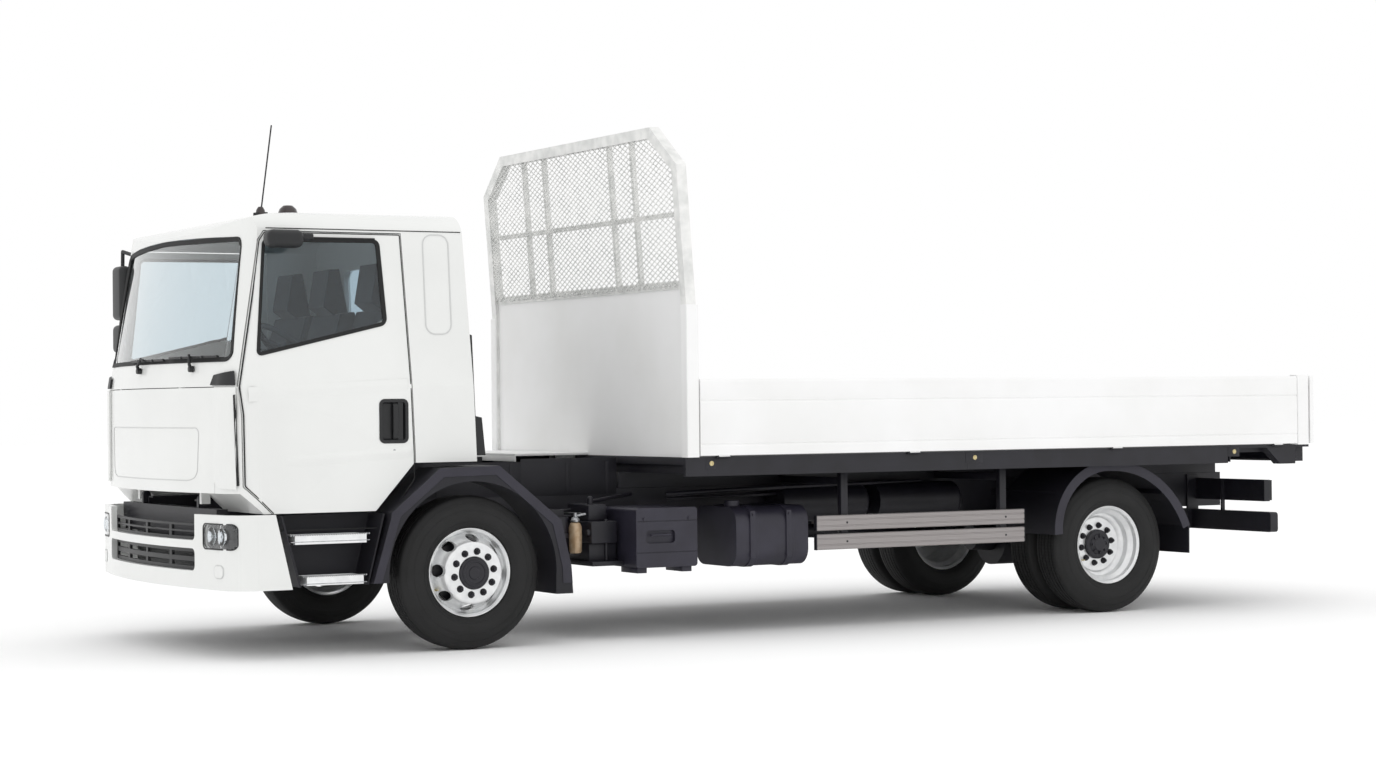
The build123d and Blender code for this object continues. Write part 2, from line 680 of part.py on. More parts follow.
with BuildPart() as screen_mesh:
    with BuildSketch(screen_plane.offset(-screen_bar / 2 - seat_gap - mesh_thickness)):
        Polygon(*screen_outline(screen_tube + seat_gap, rail_screen_z - 20), align=None)
        with Locations((0, (screen_up(rail_screen_z) + screen_up(screen_top_z)) / 2)):
            for shift in (0, 0.5):
                with GridLocations(mesh_pitch_y, mesh_pitch_z, 9, 5):
                    with Locations((shift * mesh_pitch_y, shift * mesh_pitch_z)):
                        Polygon((mesh_pitch_y / 2 - mesh_strand, 0), (0, mesh_pitch_z / 2 - mesh_strand * 0.65),
                                (mesh_strand - mesh_pitch_y / 2, 0), (0, mesh_strand * 0.65 - mesh_pitch_z / 2),
                                align=None, mode=Mode.SUBTRACT)
    extrude(amount=mesh_thickness)
finish(screen_mesh, "screen_mesh")


# Wheels and tyres, drawn on the left side and mirrored to the right
rim_inset = (tyre_width - 196) / 2
rim_wall = 7


def wheel_plane(x):
    """The horizontal plane through an axle: first number outwards from its axis, second along the truck's Y."""
    return Plane(origin=(x, 0, axle_z), x_dir=(1, 0, 0), z_dir=(0, 0, 1))


def axle_line(x):
    return Axis((x, 0, axle_z), (0, 1, 0))


def tyre_face(outer_y):
    """Half a tyre's section, from its outer sidewall inwards along Y."""
    tread_radius = tyre_diameter / 2
    inner_y = outer_y + tyre_width
    with BuildSketch() as section:
        with BuildLine():
            Line((rim_seat_radius, inner_y - rim_inset - 10), (rim_seat_radius, outer_y + rim_inset + 10))
            ThreePointArc((rim_seat_radius, outer_y + rim_inset + 10), (rim_seat_radius + 82, outer_y),
                          (tread_radius - 24, outer_y + 20))
            ThreePointArc((tread_radius - 24, outer_y + 20), (tread_radius - 8, outer_y + 30),
                          (tread_radius - 3, outer_y + 50))
            ThreePointArc((tread_radius - 3, outer_y + 50), (tread_radius, (outer_y + inner_y) / 2),
                          (tread_radius - 3, inner_y - 50))
            ThreePointArc((tread_radius - 3, inner_y - 50), (tread_radius - 8, inner_y - 30),
                          (tread_radius - 24, inner_y - 20))
            ThreePointArc((tread_radius - 24, inner_y - 20), (rim_seat_radius + 82, inner_y),
                          (rim_seat_radius, inner_y - rim_inset - 10))
        make_face()
    return section.sketch


def rim_points(outer_y):
    """A rim's section as a closed ring of points: radius, then Y."""
    seat = rim_seat_radius - seat_gap
    near = outer_y + rim_inset
    far = outer_y + tyre_width - rim_inset
    outside = [(rim_flange_radius, near), (seat, near + 9), (seat, near + 38), (rim_well_radius, near + 58),
               (rim_well_radius, far - 58), (seat, far - 38), (seat, far - 9), (rim_flange_radius, far)]
    inside = [(radius - rim_wall, y) for radius, y in reversed(outside)]
    inside[0] = (rim_flange_radius - rim_wall, far)
    inside[-1] = (rim_flange_radius - rim_wall, near)
    return outside + inside


left_outer_y = -wheel_outer_y
twin_outer_y = left_outer_y + tyre_width + twin_gap
disc_thickness = 12
front_face_y = left_outer_y + 34
rear_face_y = left_outer_y + 176

with BuildPart() as tyre_front_left:
    with BuildSketch(wheel_plane(front_axle_x)):
        add(tyre_face(left_outer_y))
    revolve(axis=axle_line(front_axle_x))
finish(tyre_front_left, "tyre_front_left")
with BuildPart() as tyre_front_right:
    add(mirror(tyre_front_left.part, about=Plane.XZ))
finish(tyre_front_right, "tyre_front_right")

with BuildPart() as tyres_rear_left:
    with BuildSketch(wheel_plane(rear_axle_x)):
        add(tyre_face(left_outer_y))
        add(tyre_face(twin_outer_y))
    revolve(axis=axle_line(rear_axle_x))
finish(tyres_rear_left, "tyres_rear_left")
with BuildPart() as tyres_rear_right:
    add(mirror(tyres_rear_left.part, about=Plane.XZ))
finish(tyres_rear_right, "tyres_rear_right")

# Front wheel: the disc bulges outwards, with hand holes, a stud ring and the hub, and the drum behind it
drum_inner_y = -928


def to_side(side, points):
    """Points of radius and Y on the left side, or mirrored to the right."""
    return [(radius, -side * y) for radius, y in points]


for side, name in [(-1, "wheel_front_left"), (1, "wheel_front_right")]:
    with BuildPart() as wheel_front:
        with BuildSketch(wheel_plane(front_axle_x)):
            Polygon(*to_side(side, rim_points(left_outer_y)), align=None)
            Polygon(*to_side(side, [
                (206, front_face_y + 34), (196, front_face_y + 27), (160, front_face_y + 4),
                (150, front_face_y), (hub_radius, front_face_y), (hub_radius - 6, front_face_y - 34),
                (hub_radius - 22, front_face_y - 42), (0, front_face_y - 44), (0, front_face_y + 45),
                (spindle_radius + seat_gap, front_face_y + 45), (spindle_radius + seat_gap, drum_inner_y),
                (drum_radius, drum_inner_y), (drum_radius, drum_inner_y - 72), (118, drum_inner_y - 84),
                (118, front_face_y + disc_thickness), (146, front_face_y + disc_thickness),
                (156, front_face_y + 16), (190, front_face_y + 38), (198, front_face_y + 41)]), align=None)
        revolve(axis=axle_line(front_axle_x))
        face_plane = Plane(origin=(front_axle_x, -side * front_face_y, axle_z), x_dir=(1, 0, 0), z_dir=(0, side, 0))
        with Locations(face_plane.offset(20)):
            with PolarLocations(hand_hole_radius, hand_hole_count):
                Cylinder(hand_hole_size, 66, align=(Align.CENTER, Align.CENTER, Align.MAX), mode=Mode.SUBTRACT)
        with Locations(face_plane):
            with PolarLocations(stud_circle_radius, stud_count):
                Cylinder(stud_radius, 26, align=(Align.CENTER, Align.CENTER, Align.MIN))
    finish(wheel_front, name)

# Rear wheels: two rims on one hub, the outer disc deeply dished
rear_hub_radius = 88
for side, name in [(-1, "wheels_rear_left"), (1, "wheels_rear_right")]:
    with BuildPart() as wheels_rear:
        with BuildSketch(wheel_plane(rear_axle_x)):
            Polygon(*to_side(side, rim_points(left_outer_y)), align=None)
            Polygon(*to_side(side, rim_points(twin_outer_y)), align=None)
            Polygon(*to_side(side, [
                (rim_well_radius - 4, rear_face_y - 84), (180, rear_face_y - 50), (150, rear_face_y - 8),
                (134, rear_face_y), (rear_hub_radius, rear_face_y), (rear_hub_radius, rear_face_y - 96),
                (rear_hub_radius - 20, rear_face_y - 108), (0, rear_face_y - 110), (0, rear_face_y + 60),
                (110, rear_face_y + 60), (134, rear_face_y + 30), (168, rear_face_y + 62),
                (rim_well_radius - 4, twin_outer_y + 124), (rim_well_radius - 4, twin_outer_y + 108),
                (172, rear_face_y + 32), (146, rear_face_y + disc_thickness), (150, rear_face_y + 4),
                (168, rear_face_y - 34), (rim_well_radius - 4, rear_face_y - 66)]), align=None)
        revolve(axis=axle_line(rear_axle_x))
        with Locations(Plane(origin=(rear_axle_x, -side * rear_face_y, axle_z), x_dir=(1, 0, 0), z_dir=(0, side, 0))):
            with PolarLocations(stud_circle_radius, stud_count):
                Cylinder(stud_radius, 34, align=(Align.CENTER, Align.CENTER, Align.MIN))
    finish(wheels_rear, name)

# Steering knuckles: a yoke above and below the beam's eye, the kingpin, the spindle and the brake plate
eye_radius = 44
eye_height = 118
yoke_thickness = 34
yoke_gap = 1
with BuildPart() as knuckle_left:
    for level in (-1, 1):
        z = axle_z + level * (eye_height / 2 + yoke_gap + yoke_thickness / 2)
        with Locations((front_axle_x, -kingpin_y, z)):
            Cylinder(eye_radius, yoke_thickness)
        block((front_axle_x - eye_radius, front_axle_x + eye_radius), (-kingpin_y - 52, -kingpin_y),
              (z - yoke_thickness / 2, z + yoke_thickness / 2))
    rod((front_axle_x, -kingpin_y, axle_z - eye_height / 2 - 20), (front_axle_x, -kingpin_y, axle_z + eye_height / 2 + 20),
        kingpin_radius)
    block((front_axle_x - 60, front_axle_x + 60), (drum_inner_y + 6, -kingpin_y - 46),
          (axle_z - eye_height / 2 - yoke_thickness, axle_z + eye_height / 2 + yoke_thickness))
    rod((front_axle_x, drum_inner_y + 6, axle_z), (front_axle_x, front_face_y + 60, axle_z), spindle_radius)
    rod((front_axle_x, drum_inner_y + 6, axle_z), (front_axle_x, drum_inner_y + 12, axle_z), drum_radius - 4)
    block((front_axle_x + 40, front_axle_x + 150), (-kingpin_y - 46, -kingpin_y - 26),
          (axle_z - eye_height / 2 - yoke_thickness, axle_z - eye_height / 2 - 6))
finish(knuckle_left, "knuckle_left")
with BuildPart() as knuckle_right:
    add(mirror(knuckle_left.part, about=Plane.XZ))
finish(knuckle_right, "knuckle_right")

# Front axle beam, dropped in the middle, with an eye at each end
beam_drop = 70
with BuildPart() as front_axle:
    for side in (-1, 1):
        rod((front_axle_x, side * kingpin_y, axle_z - eye_height / 2),
            (front_axle_x, side * kingpin_y, axle_z + eye_height / 2), eye_radius)
    with BuildSketch(Plane.YZ.offset(front_axle_x - 34)):
        Polygon((-kingpin_y + 10, axle_z + 34), (-kingpin_y + 10, axle_z - 34), (-560, axle_z - 40 - beam_drop),
                (560, axle_z - 40 - beam_drop), (kingpin_y - 10, axle_z - 34), (kingpin_y - 10, axle_z + 34),
                (540, axle_z + 42 - beam_drop), (-540, axle_z + 42 - beam_drop), align=None)
    extrude(amount=68)
    for side in (-1, 1):
        rod((front_axle_x, side * kingpin_y, axle_z - eye_height), (front_axle_x, side * kingpin_y, axle_z + eye_height),
            kingpin_radius + pin_gap, mode=Mode.SUBTRACT)
        block((front_axle_x - 60, front_axle_x + 60), (side * 350, side * 430),
              (axle_z + 42 - beam_drop, axle_z + 52 - beam_drop))
finish(front_axle, "front_axle")

# Rear axle: tube, round differential and the shaft forward to the gearbox
axle_tube_radius = 58
diff_radius = 165
shaft_radius = 42
gearbox_rear_x = front_axle_x + 560
shaft_front_z = 640
with BuildPart() as rear_axle:
    tube_end_y = -(rear_face_y + 60) - seat_gap
    rod((rear_axle_x, -tube_end_y, axle_z), (rear_axle_x, tube_end_y, axle_z), axle_tube_radius)
    with Locations(Location((rear_axle_x, 0, axle_z), (0, 90, 0))):
        Cylinder(diff_radius, 170)
    rod((rear_axle_x - 240, 0, axle_z + 12), (rear_axle_x, 0, axle_z), 80)
    shaft_slope = (shaft_front_z - axle_z - 12) / (rear_axle_x - 230 - gearbox_rear_x)
    rod((gearbox_rear_x + seat_gap + shaft_radius * shaft_slope, 0, shaft_front_z),
        (rear_axle_x - 230, 0, axle_z + 12), shaft_radius)
    for side in (-1, 1):
        block((rear_axle_x - 60, rear_axle_x + 60), (side * 455, side * 530),
              (axle_z + 30, axle_z + axle_tube_radius + 12))
finish(rear_axle, "rear_axle")

# Leaf springs: stepped leaves bent to an arc, hung from the rails
spring_front_z = axle_z + 52 - beam_drop
spring_rear_z = axle_z + axle_tube_radius + 12
spring_rows = [
    # axle x, lowest z, y of the inner side, width, half length, rise at the ends, leaves
    (front_axle_x, spring_front_z, 358, 64, 640, 96, 4),
    (rear_axle_x, spring_rear_z, 458, 68, 680, 70, 6),
]
leaf_thickness = 12
with BuildPart() as leaf_springs:
    for x, z, inner_y, width, half_length, rise, leaves in spring_rows:
        for side in (-1, 1):
            for index in range(leaves):
                reach = half_length * (index + 1.6) / (leaves + 0.6)
                lift = rise * (reach / half_length) ** 2
                low = z + seat_gap + index * leaf_thickness
                with BuildSketch(Plane.XZ.offset(-side * inner_y)):
                    with BuildLine():
                        ThreePointArc((x - reach, low + lift), (x, low), (x + reach, low + lift))
                        Line((x + reach, low + lift), (x + reach, low + lift + leaf_thickness))
                        ThreePointArc((x + reach, low + lift + leaf_thickness), (x, low + leaf_thickness),
                                      (x - reach, low + lift + leaf_thickness))
                        Line((x - reach, low + lift + leaf_thickness), (x - reach, low + lift))
                    make_face()
                extrude(amount=-side * width)
            top = z + seat_gap + leaves * leaf_thickness
            end_z = top + rise - leaf_thickness / 2
            for end in (-1, 1):
                rod((x + end * half_length, side * inner_y, end_z), (x + end * half_length, side * (inner_y + width), end_z),
                    24)
                block((x + end * half_length - 22, x + end * half_length + 22), (side * inner_y, side * (inner_y + width)),
                      (end_z, rail_bottom_z - seat_gap if inner_y < rail_outer_y else rail_bottom_z + 60))
            block((x - 52, x + 52), (side * inner_y, side * (inner_y + width)), (z + seat_gap, top + 14))
finish(leaf_springs, "leaf_springs")

# Engine and gearbox as one plain block on the rails' line
engine_half_width = 300
with BuildPart() as engine_block:
    with BuildSketch(Plane.XZ.offset(-engine_half_width)):
        Polygon((front_axle_x - 900, 470), (front_axle_x - 900, 900), (front_axle_x - 60, 900),
                (front_axle_x + 60, 820), (gearbox_rear_x, 740), (gearbox_rear_x, 560), (front_axle_x + 60, 520),
                (front_axle_x - 300, 420), align=None)
    extrude(amount=2 * engine_half_width)
    for side in (-1, 1):
        block((front_axle_x + 60, gearbox_rear_x + 10), (side * 190, side * (engine_half_width + 10)), (400, 950),
              mode=Mode.SUBTRACT)
        block((front_axle_x - 640, front_axle_x - 560), (side * (engine_half_width - 5), side * (rail_outer_y - rail_web - seat_gap)),
              (640, 720))
finish(engine_block, "engine_block")

# Mudguards: a bent skin with a flanged outer edge over each front wheel, and the steps' housing before it
guard_outer_y = 1150
guard_inner_y = 868
guard_skin = 10
arch_radius = 478
with BuildPart() as front_mudguards:
    for side in (-1, 1):
        with BuildSketch(Plane.XZ.offset(-side * guard_outer_y)):
            Polygon(*from_front([(-566, 372), (-467, 700), (-462, 732), (-190, 955), (150, 962), (508, 668),
                                 (566, 420), (576, 275), (480, 275), (-480, 372)]), align=None)
            with Locations((front_axle_x, axle_z)):
                Circle(arch_radius, mode=Mode.SUBTRACT)
            with Locations((front_axle_x, 200)):
                Rectangle(2 * arch_radius - 4, 2 * (axle_z - 200), mode=Mode.SUBTRACT)
        extrude(amount=side * (guard_outer_y - guard_inner_y))
        with BuildSketch(Plane.XZ.offset(-side * (guard_outer_y - guard_skin))):
            Polygon(*from_front([(-300, 700), (-184, 945), (146, 952), (300, 700)]), align=None)
            with Locations((front_axle_x, axle_z)):
                Circle(arch_radius + guard_skin, mode=Mode.SUBTRACT)
        extrude(amount=side * (guard_outer_y - guard_inner_y - guard_skin), mode=Mode.SUBTRACT)
        arch_top_z = axle_z + arch_radius
        block((front_axle_x - 20, front_axle_x + 20), (side * (rail_outer_y + seat_gap), side * (guard_inner_y + 14)),
              (arch_top_z, arch_top_z + 22))
        block((front_axle_x - 20, front_axle_x + 20), (side * (rail_outer_y + seat_gap), side * (rail_outer_y + 30)),
              (rail_top_z - 90, arch_top_z + 22))
finish(front_mudguards, "front_mudguards")

# Rear mudguards: a bent band over each twin wheel, with a rubber flap behind
rear_guard_inner_y = 610
flap_bottom_z = 338
with BuildPart() as rear_mudguards:
    for side in (-1, 1):
        with BuildSketch(Plane.XZ.offset(-side * guard_outer_y)):
            with BuildLine():
                ThreePointArc((rear_axle_x - 442, 480), (rear_axle_x - 330, 785), (rear_axle_x, 906))
                ThreePointArc((rear_axle_x, 906), (rear_axle_x + 395, 762), (rear_axle_x + 578, 508))
                Line((rear_axle_x + 578, 508), (rear_axle_x + 566, 502))
                ThreePointArc((rear_axle_x + 566, 502), (rear_axle_x + 386, 752), (rear_axle_x, 893))
                ThreePointArc((rear_axle_x, 893), (rear_axle_x - 320, 776), (rear_axle_x - 429, 480))
                Line((rear_axle_x - 429, 480), (rear_axle_x - 442, 480))
            make_face()
        extrude(amount=side * (guard_outer_y - rear_guard_inner_y))
        with BuildSketch(Plane.XZ.offset(-side * guard_outer_y)):
            Polygon((rear_axle_x + 566, 500), (rear_axle_x + 576, 506), (rear_axle_x + 574, flap_bottom_z),
                    (rear_axle_x + 566, flap_bottom_z), align=None)
        extrude(amount=side * (guard_outer_y - rear_guard_inner_y))
        for x in (rear_axle_x - 360, rear_axle_x + 430):
            block((x - 16, x + 16), (side * (rail_outer_y + seat_gap), side * (guard_outer_y - 60)), (700, 732))
finish(rear_mudguards, "rear_mudguards")

# Steps: a dark housing with two open treads ahead of each front wheel
step_front_x = front_axle_x - 1008
step_rear_x = front_axle_x - 572
step_outer_y = 1122
step_back_y = 905
step_wall = 12
tread_rows = [
    # top z, front x, rear x
    (630, front_axle_x - 1000, front_axle_x - 568),
    (420, front_axle_x - 938, front_axle_x - 586),
]
tread_height = 46
tread_depth = 150
with BuildPart() as step_housings:
    for side in (-1, 1):
        with BuildSketch(Plane.XZ.offset(-side * step_back_y)):
            Polygon((step_front_x - 40, 728), (front_axle_x - 480, 728), (front_axle_x - 572, 366),
                    (front_axle_x - 950, 366), align=None)
        extrude(amount=-side * step_wall)
        with BuildSketch(Plane.XZ.offset(-side * (step_outer_y - 12))):
            Polygon((step_front_x - 40, 728), (step_front_x - 28, 728), (front_axle_x - 938, 366),
                    (front_axle_x - 950, 366), align=None)
            Polygon((front_axle_x - 492, 728), (front_axle_x - 480, 728), (front_axle_x - 572, 366),
                    (front_axle_x - 584, 366), align=None)
        extrude(amount=side * (step_outer_y - 12 - step_back_y))
        block((front_axle_x - 900, front_axle_x - 860), (side * (rail_outer_y + seat_gap), side * (step_back_y + 6)),
              (620, 680))
finish(step_housings, "step_housings")

# Step treads: open gratings that stand out of the housing
with BuildPart() as step_treads:
    for side in (-1, 1):
        for top_z, front_x, rear_x in tread_rows:
            middle = ((front_x + rear_x) / 2, side * (step_outer_y - tread_depth / 2), top_z - tread_height / 2)
            with Locations(middle):
                Box(rear_x - front_x - 44, tread_depth, tread_height)
                Box(rear_x - front_x - 60, tread_depth - 16, tread_height + 2, mode=Mode.SUBTRACT)
                with GridLocations(52, 1, int((rear_x - front_x - 60) / 52), 1):
                    Box(6, tread_depth - 8, tread_height - 10)
            for x in (front_x + 90, rear_x - 90):
                block((x - 14, x + 14), (side * (step_back_y + step_wall + seat_gap),
                                         side * (step_outer_y - tread_depth + 6)), (top_z - 38, top_z - 8))
finish(step_treads, "step_treads")

# Tanks and boxes along the left rail, and the silencer on the right one
side_outer_y = 1100
battery_x = (front_axle_x + 986, front_axle_x + 1365)
battery_z = (388, 712)
battery_inner_y = 690
lid_seam_z = 640
with BuildPart() as battery_box:
    with BuildSketch(Plane.XZ.offset(side_outer_y)):
        with Locations((sum(battery_x) / 2, sum(battery_z) / 2)):
            RectangleRounded(battery_x[1] - battery_x[0], battery_z[1] - battery_z[0], 18)
    extrude(amount=-(side_outer_y - battery_inner_y))
    for z in (lid_seam_z, 470):
        block((battery_x[0] - 5, battery_x[1] + 5), (-side_outer_y - 5, 5 - side_outer_y), (z - 3, z + 3),
              mode=Mode.SUBTRACT)
    with BuildSketch(Plane.XZ.offset(side_outer_y + 5)):
        with Locations((sum(battery_x) / 2 - 40, 555)):
            RectangleRounded(180, 70, 20)
    extrude(amount=-25, mode=Mode.SUBTRACT)
    for x in battery_x:
        inward = 30 if x == battery_x[0] else -30
        block((x, x + inward), (-battery_inner_y - 10, -rail_outer_y - seat_gap), (620, 700))
finish(battery_box, "battery_box")

tank_x = (front_axle_x + 1612, front_axle_x + 2080)
tank_z = (370, 702)
tank_inner_y = 640
strap_thickness = 6
strap_width = 46
with BuildPart() as fuel_tank:
    with BuildSketch(Plane.YZ.offset(tank_x[0])):
        with Locations((-(side_outer_y + tank_inner_y) / 2, sum(tank_z) / 2)):
            RectangleRounded(side_outer_y - tank_inner_y, tank_z[1] - tank_z[0], 95)
    extrude(amount=tank_x[1] - tank_x[0])
    for x in (tank_x[0] + 95, tank_x[1] - 95 - strap_width):
        with BuildSketch(Plane.YZ.offset(x)):
            with Locations((-(side_outer_y + tank_inner_y) / 2, sum(tank_z) / 2)):
                RectangleRounded(side_outer_y - tank_inner_y + 2 * strap_thickness,
                                 tank_z[1] - tank_z[0] + 2 * strap_thickness, 95 + strap_thickness)
        extrude(amount=strap_width)
        block((x, x + strap_width), (-tank_inner_y - 100, -rail_outer_y - seat_gap), (600, 640))
    rod((tank_x[0] + 60, -side_outer_y + 150, tank_z[1] - 15), (tank_x[0] + 60, -side_outer_y + 150, tank_z[1] + 32), 42)
finish(fuel_tank, "fuel_tank")

air_tank_radius = 108
air_tank_y = 560
air_tank_z = 690
with BuildPart() as air_tanks:
    for x in (front_axle_x + 2190, front_axle_x + 2850):
        with Locations(Location((x + 300, -air_tank_y, air_tank_z), (0, 90, 0))):
            Cylinder(air_tank_radius, 600)
        fillet(edges().filter_by(GeomType.CIRCLE).group_by(Axis.X)[-1], 40)
    for x in (front_axle_x + 2290, front_axle_x + 2660, front_axle_x + 2950, front_axle_x + 3320):
        block((x, x + 30), (-air_tank_y, -rail_outer_y - seat_gap), (air_tank_z - 20, air_tank_z + 20))
finish(air_tanks, "air_tanks")

dryer_x = front_axle_x + 660
with BuildPart() as air_dryer:
    with Locations((dryer_x, -800, 565)):
        Cylinder(62, 200)
        Cylinder(70, 24)
    block((dryer_x - 40, dryer_x + 40), (-800, -rail_outer_y - seat_gap), (665, 705))
finish(air_dryer, "air_dryer")

silencer_x = (front_axle_x + 900, front_axle_x + 1500)
with BuildPart() as silencer:
    with BuildSketch(Plane.YZ.offset(silencer_x[0])):
        with Locations((740, 560)):
            RectangleRounded(380, 280, 110)
    extrude(amount=silencer_x[1] - silencer_x[0])
    rod((silencer_x[1] - 5, 800, 520), (silencer_x[1] + 260, 800, 520), 45)
    rod((silencer_x[1] - 5, 800, 520), (silencer_x[1] + 262, 800, 520), 39, mode=Mode.SUBTRACT)
    for x in (silencer_x[0] + 60, silencer_x[1] - 100):
        block((x, x + 40), (rail_outer_y + seat_gap, 600), (600, 640))
finish(silencer, "silencer")

# Side guards: two rails on uprights along each side
guard_rail_outer_y = 1125
guard_rail_thickness = 26
guard_rail_rows = [(447, 535), (554, 640)]
guard_side_rows = [
    # side, front x, rear x, upright places
    (-1, front_axle_x + 2118, front_axle_x + 3560, (front_axle_x + 2300, front_axle_x + 3400)),
    (1, front_axle_x + 1800, front_axle_x + 3560, (front_axle_x + 2000, front_axle_x + 2700, front_axle_x + 3400)),
]
with BuildPart() as side_guards:
    for side, front_x, rear_x, upright_x in guard_side_rows:
        for low_z, high_z in guard_rail_rows:
            with BuildSketch(Plane.YZ.offset(front_x)):
                with Locations((side * (guard_rail_outer_y - guard_rail_thickness / 2), (low_z + high_z) / 2)):
                    RectangleRounded(guard_rail_thickness, high_z - low_z, 6)
            extrude(amount=rear_x - front_x)
        for x in upright_x:
            block((x, x + 46), (side * (guard_rail_outer_y - guard_rail_thickness),
                                side * (guard_rail_outer_y - guard_rail_thickness - 40)),
                  (guard_rail_rows[0][0], floor_top_z - floor_thickness - bearer_height - seat_gap))
            block((x, x + 46), (side * (rail_outer_y + seat_gap), side * (guard_rail_outer_y - guard_rail_thickness)),
                  (rail_top_z + 10, rail_top_z + 50))
finish(side_guards, "side_guards")

# Rear bars: the underrun bar and the lamp bar with their brackets
underrun_x = (front_axle_x + 5385, front_axle_x + 5445)
underrun_z = (445, 568)
underrun_reach = 1190
lamp_bar_x = (front_axle_x + 5425, front_axle_x + 5470)
lamp_bar_z = (632, 766)
lamp_bar_reach = 1090
with BuildPart() as rear_bars:
    with BuildSketch(Plane.YZ.offset(underrun_x[0])):
        with Locations((0, sum(underrun_z) / 2)):
            RectangleRounded(2 * underrun_reach, underrun_z[1] - underrun_z[0], 20)
    extrude(amount=underrun_x[1] - underrun_x[0])
    for side in (-1, 1):
        block((underrun_x[0] - 30, underrun_x[1]), (side * (rail_outer_y + seat_gap), side * (rail_outer_y + 14)),
              (underrun_z[0], 790))
        block((lamp_bar_x[0], lamp_bar_x[1]), (side * (rail_outer_y + seat_gap), side * lamp_bar_reach), lamp_bar_z)
        block((underrun_x[0] + 20, lamp_bar_x[0] + 5), (side * 700, side * 714), (underrun_z[0], lamp_bar_z[1]))
finish(rear_bars, "rear_bars")

with BuildPart() as tail_lamps:
    for side in (-1, 1):
        with BuildSketch(Plane.YZ.offset(lamp_bar_x[1] + seat_gap)):
            with Locations((side * 880, sum(lamp_bar_z) / 2)):
                RectangleRounded(340, 118, 12)
        extrude(amount=52, taper=3)
finish(tail_lamps, "tail_lamps")

# Towing jaw on the rear cross member
coupling_z = 690
coupling_pitch_y = 120
coupling_pitch_z = 56
with BuildPart() as towing_jaw:
    with BuildSketch(Plane.YZ.offset(rail_rear_x + 18 + seat_gap)):
        with Locations((0, coupling_z)):
            RectangleRounded(190, 130, 14)
            with GridLocations(coupling_pitch_y, coupling_pitch_z, 2, 2):
                Circle(8.5, mode=Mode.SUBTRACT)
    extrude(amount=16)
    jaw_x = rail_rear_x + 18 + seat_gap
    for level in (-1, 1):
        block((jaw_x + 10, tail_x - 2), (-32, 32), (coupling_z + level * 14, coupling_z + level * 28))
    rod((tail_x - 22, 0, coupling_z - 50), (tail_x - 22, 0, coupling_z + 60), 9)
finish(towing_jaw, "towing_jaw")

# Walkway plate between the cab and the headboard
with BuildPart() as catwalk:
    block((front_axle_x + 640, headboard_x - 30), (-rail_outer_y, rail_outer_y), (rail_top_z + seat_gap, rail_top_z + 30))
    with Locations((front_axle_x + 900, 0, rail_top_z + 30)):
        with GridLocations(90, 160, 5, 5):
            Box(60, 120, 12, mode=Mode.SUBTRACT)
finish(catwalk, "catwalk")

# Air intake duct up the back of the cab
duct_y = (-1010, -900)
with BuildPart() as intake_duct:
    with BuildSketch(Plane.XZ.offset(-duct_y[0])):
        Polygon(*[(cab_rear_x - cab_rear_lean * (z - cab_floor_z) / (2278 - cab_floor_z) + seat_gap + out, z)
                  for out, z in [(0, 1230), (70, 1215), (82, 1015), (0, 1015)]], align=None)
        Polygon(*[(cab_rear_x - cab_rear_lean * (z - cab_floor_z) / (2278 - cab_floor_z) + seat_gap + out, z)
                  for out, z in [(0, 1660), (34, 1650), (34, 1200), (0, 1200)]], align=None)
    extrude(amount=-(duct_y[1] - duct_y[0]))
finish(intake_duct, "intake_duct")

# Inside of the cab
seat_rows = [
    # y, width
    (-620, 500),
    (620, 500),
    (60, 420),
]
seat_floor_z = cab_floor_z + wall + seat_gap
with BuildPart() as seats:
    for y, width in seat_rows:
        with BuildSketch(Plane.XZ.offset(-y - width / 2)):
            Polygon(*from_front([(-820, 1300), (-860, 1330), (-850, 1420), (-450, 1390), (-330, 1790), (-250, 1800),
                                 (-230, 1740), (-330, 1310), (-360, 1270)]), align=None)
            Polygon(*from_front([(-740, seat_floor_z), (-740, 1310), (-380, 1290), (-380, seat_floor_z)]), align=None)
        extrude(amount=width)
        with BuildSketch(Plane.XZ.offset(-y - 120)):
            Polygon(*from_front([(-395, 1830), (-360, 2035), (-300, 2040), (-250, 1790), (-330, 1780)]), align=None)
        extrude(amount=240)
finish(seats, "seats")

dash_half_width = 950
with BuildPart() as dashboard:
    with BuildSketch(Plane.XZ.offset(-dash_half_width)):
        Polygon(*from_front([(-1195, 1180), (-1195, 1395), (-1400, 1395), (-1400, 1478), (-1190, 1494),
                             (-1130, 1512), (-985, 1470), (-965, 1330), (-1060, 1190)]), align=None)
    extrude(amount=2 * dash_half_width)
    add(cab_form(wall + seat_gap), mode=Mode.INTERSECT)
    with BuildSketch(Plane.XZ.offset(420)):
        Polygon(*from_front([(-1160, 1500), (-1010, 1580), (-960, 1450), (-1000, 1400)]), align=None)
    extrude(amount=400)
finish(dashboard, "dashboard")

wheel_tilt = 40
hand_wheel_radius = 225
hand_wheel_y = -620
hand_plane = Plane(origin=(front_axle_x - 800, hand_wheel_y, 1570), x_dir=(0, 1, 0),
                   z_dir=(sin(radians(wheel_tilt)), 0, cos(radians(wheel_tilt))))
with BuildPart() as steering_wheel:
    with Locations(hand_plane):
        Torus(hand_wheel_radius - 16, 16)
        Cylinder(62, 34)
        for turn in (-90, 30, 150):
            with Locations(Rotation(0, 0, turn)):
                Box(hand_wheel_radius - 20, 34, 16, align=(Align.MIN, Align.CENTER, Align.CENTER))
    with Locations(hand_plane.offset(-120)):
        Cylinder(34, 227.4)
finish(steering_wheel, "steering_wheel")

# Kerb mirror over the left door's window, and the two-mirror arm ahead of the right door's window

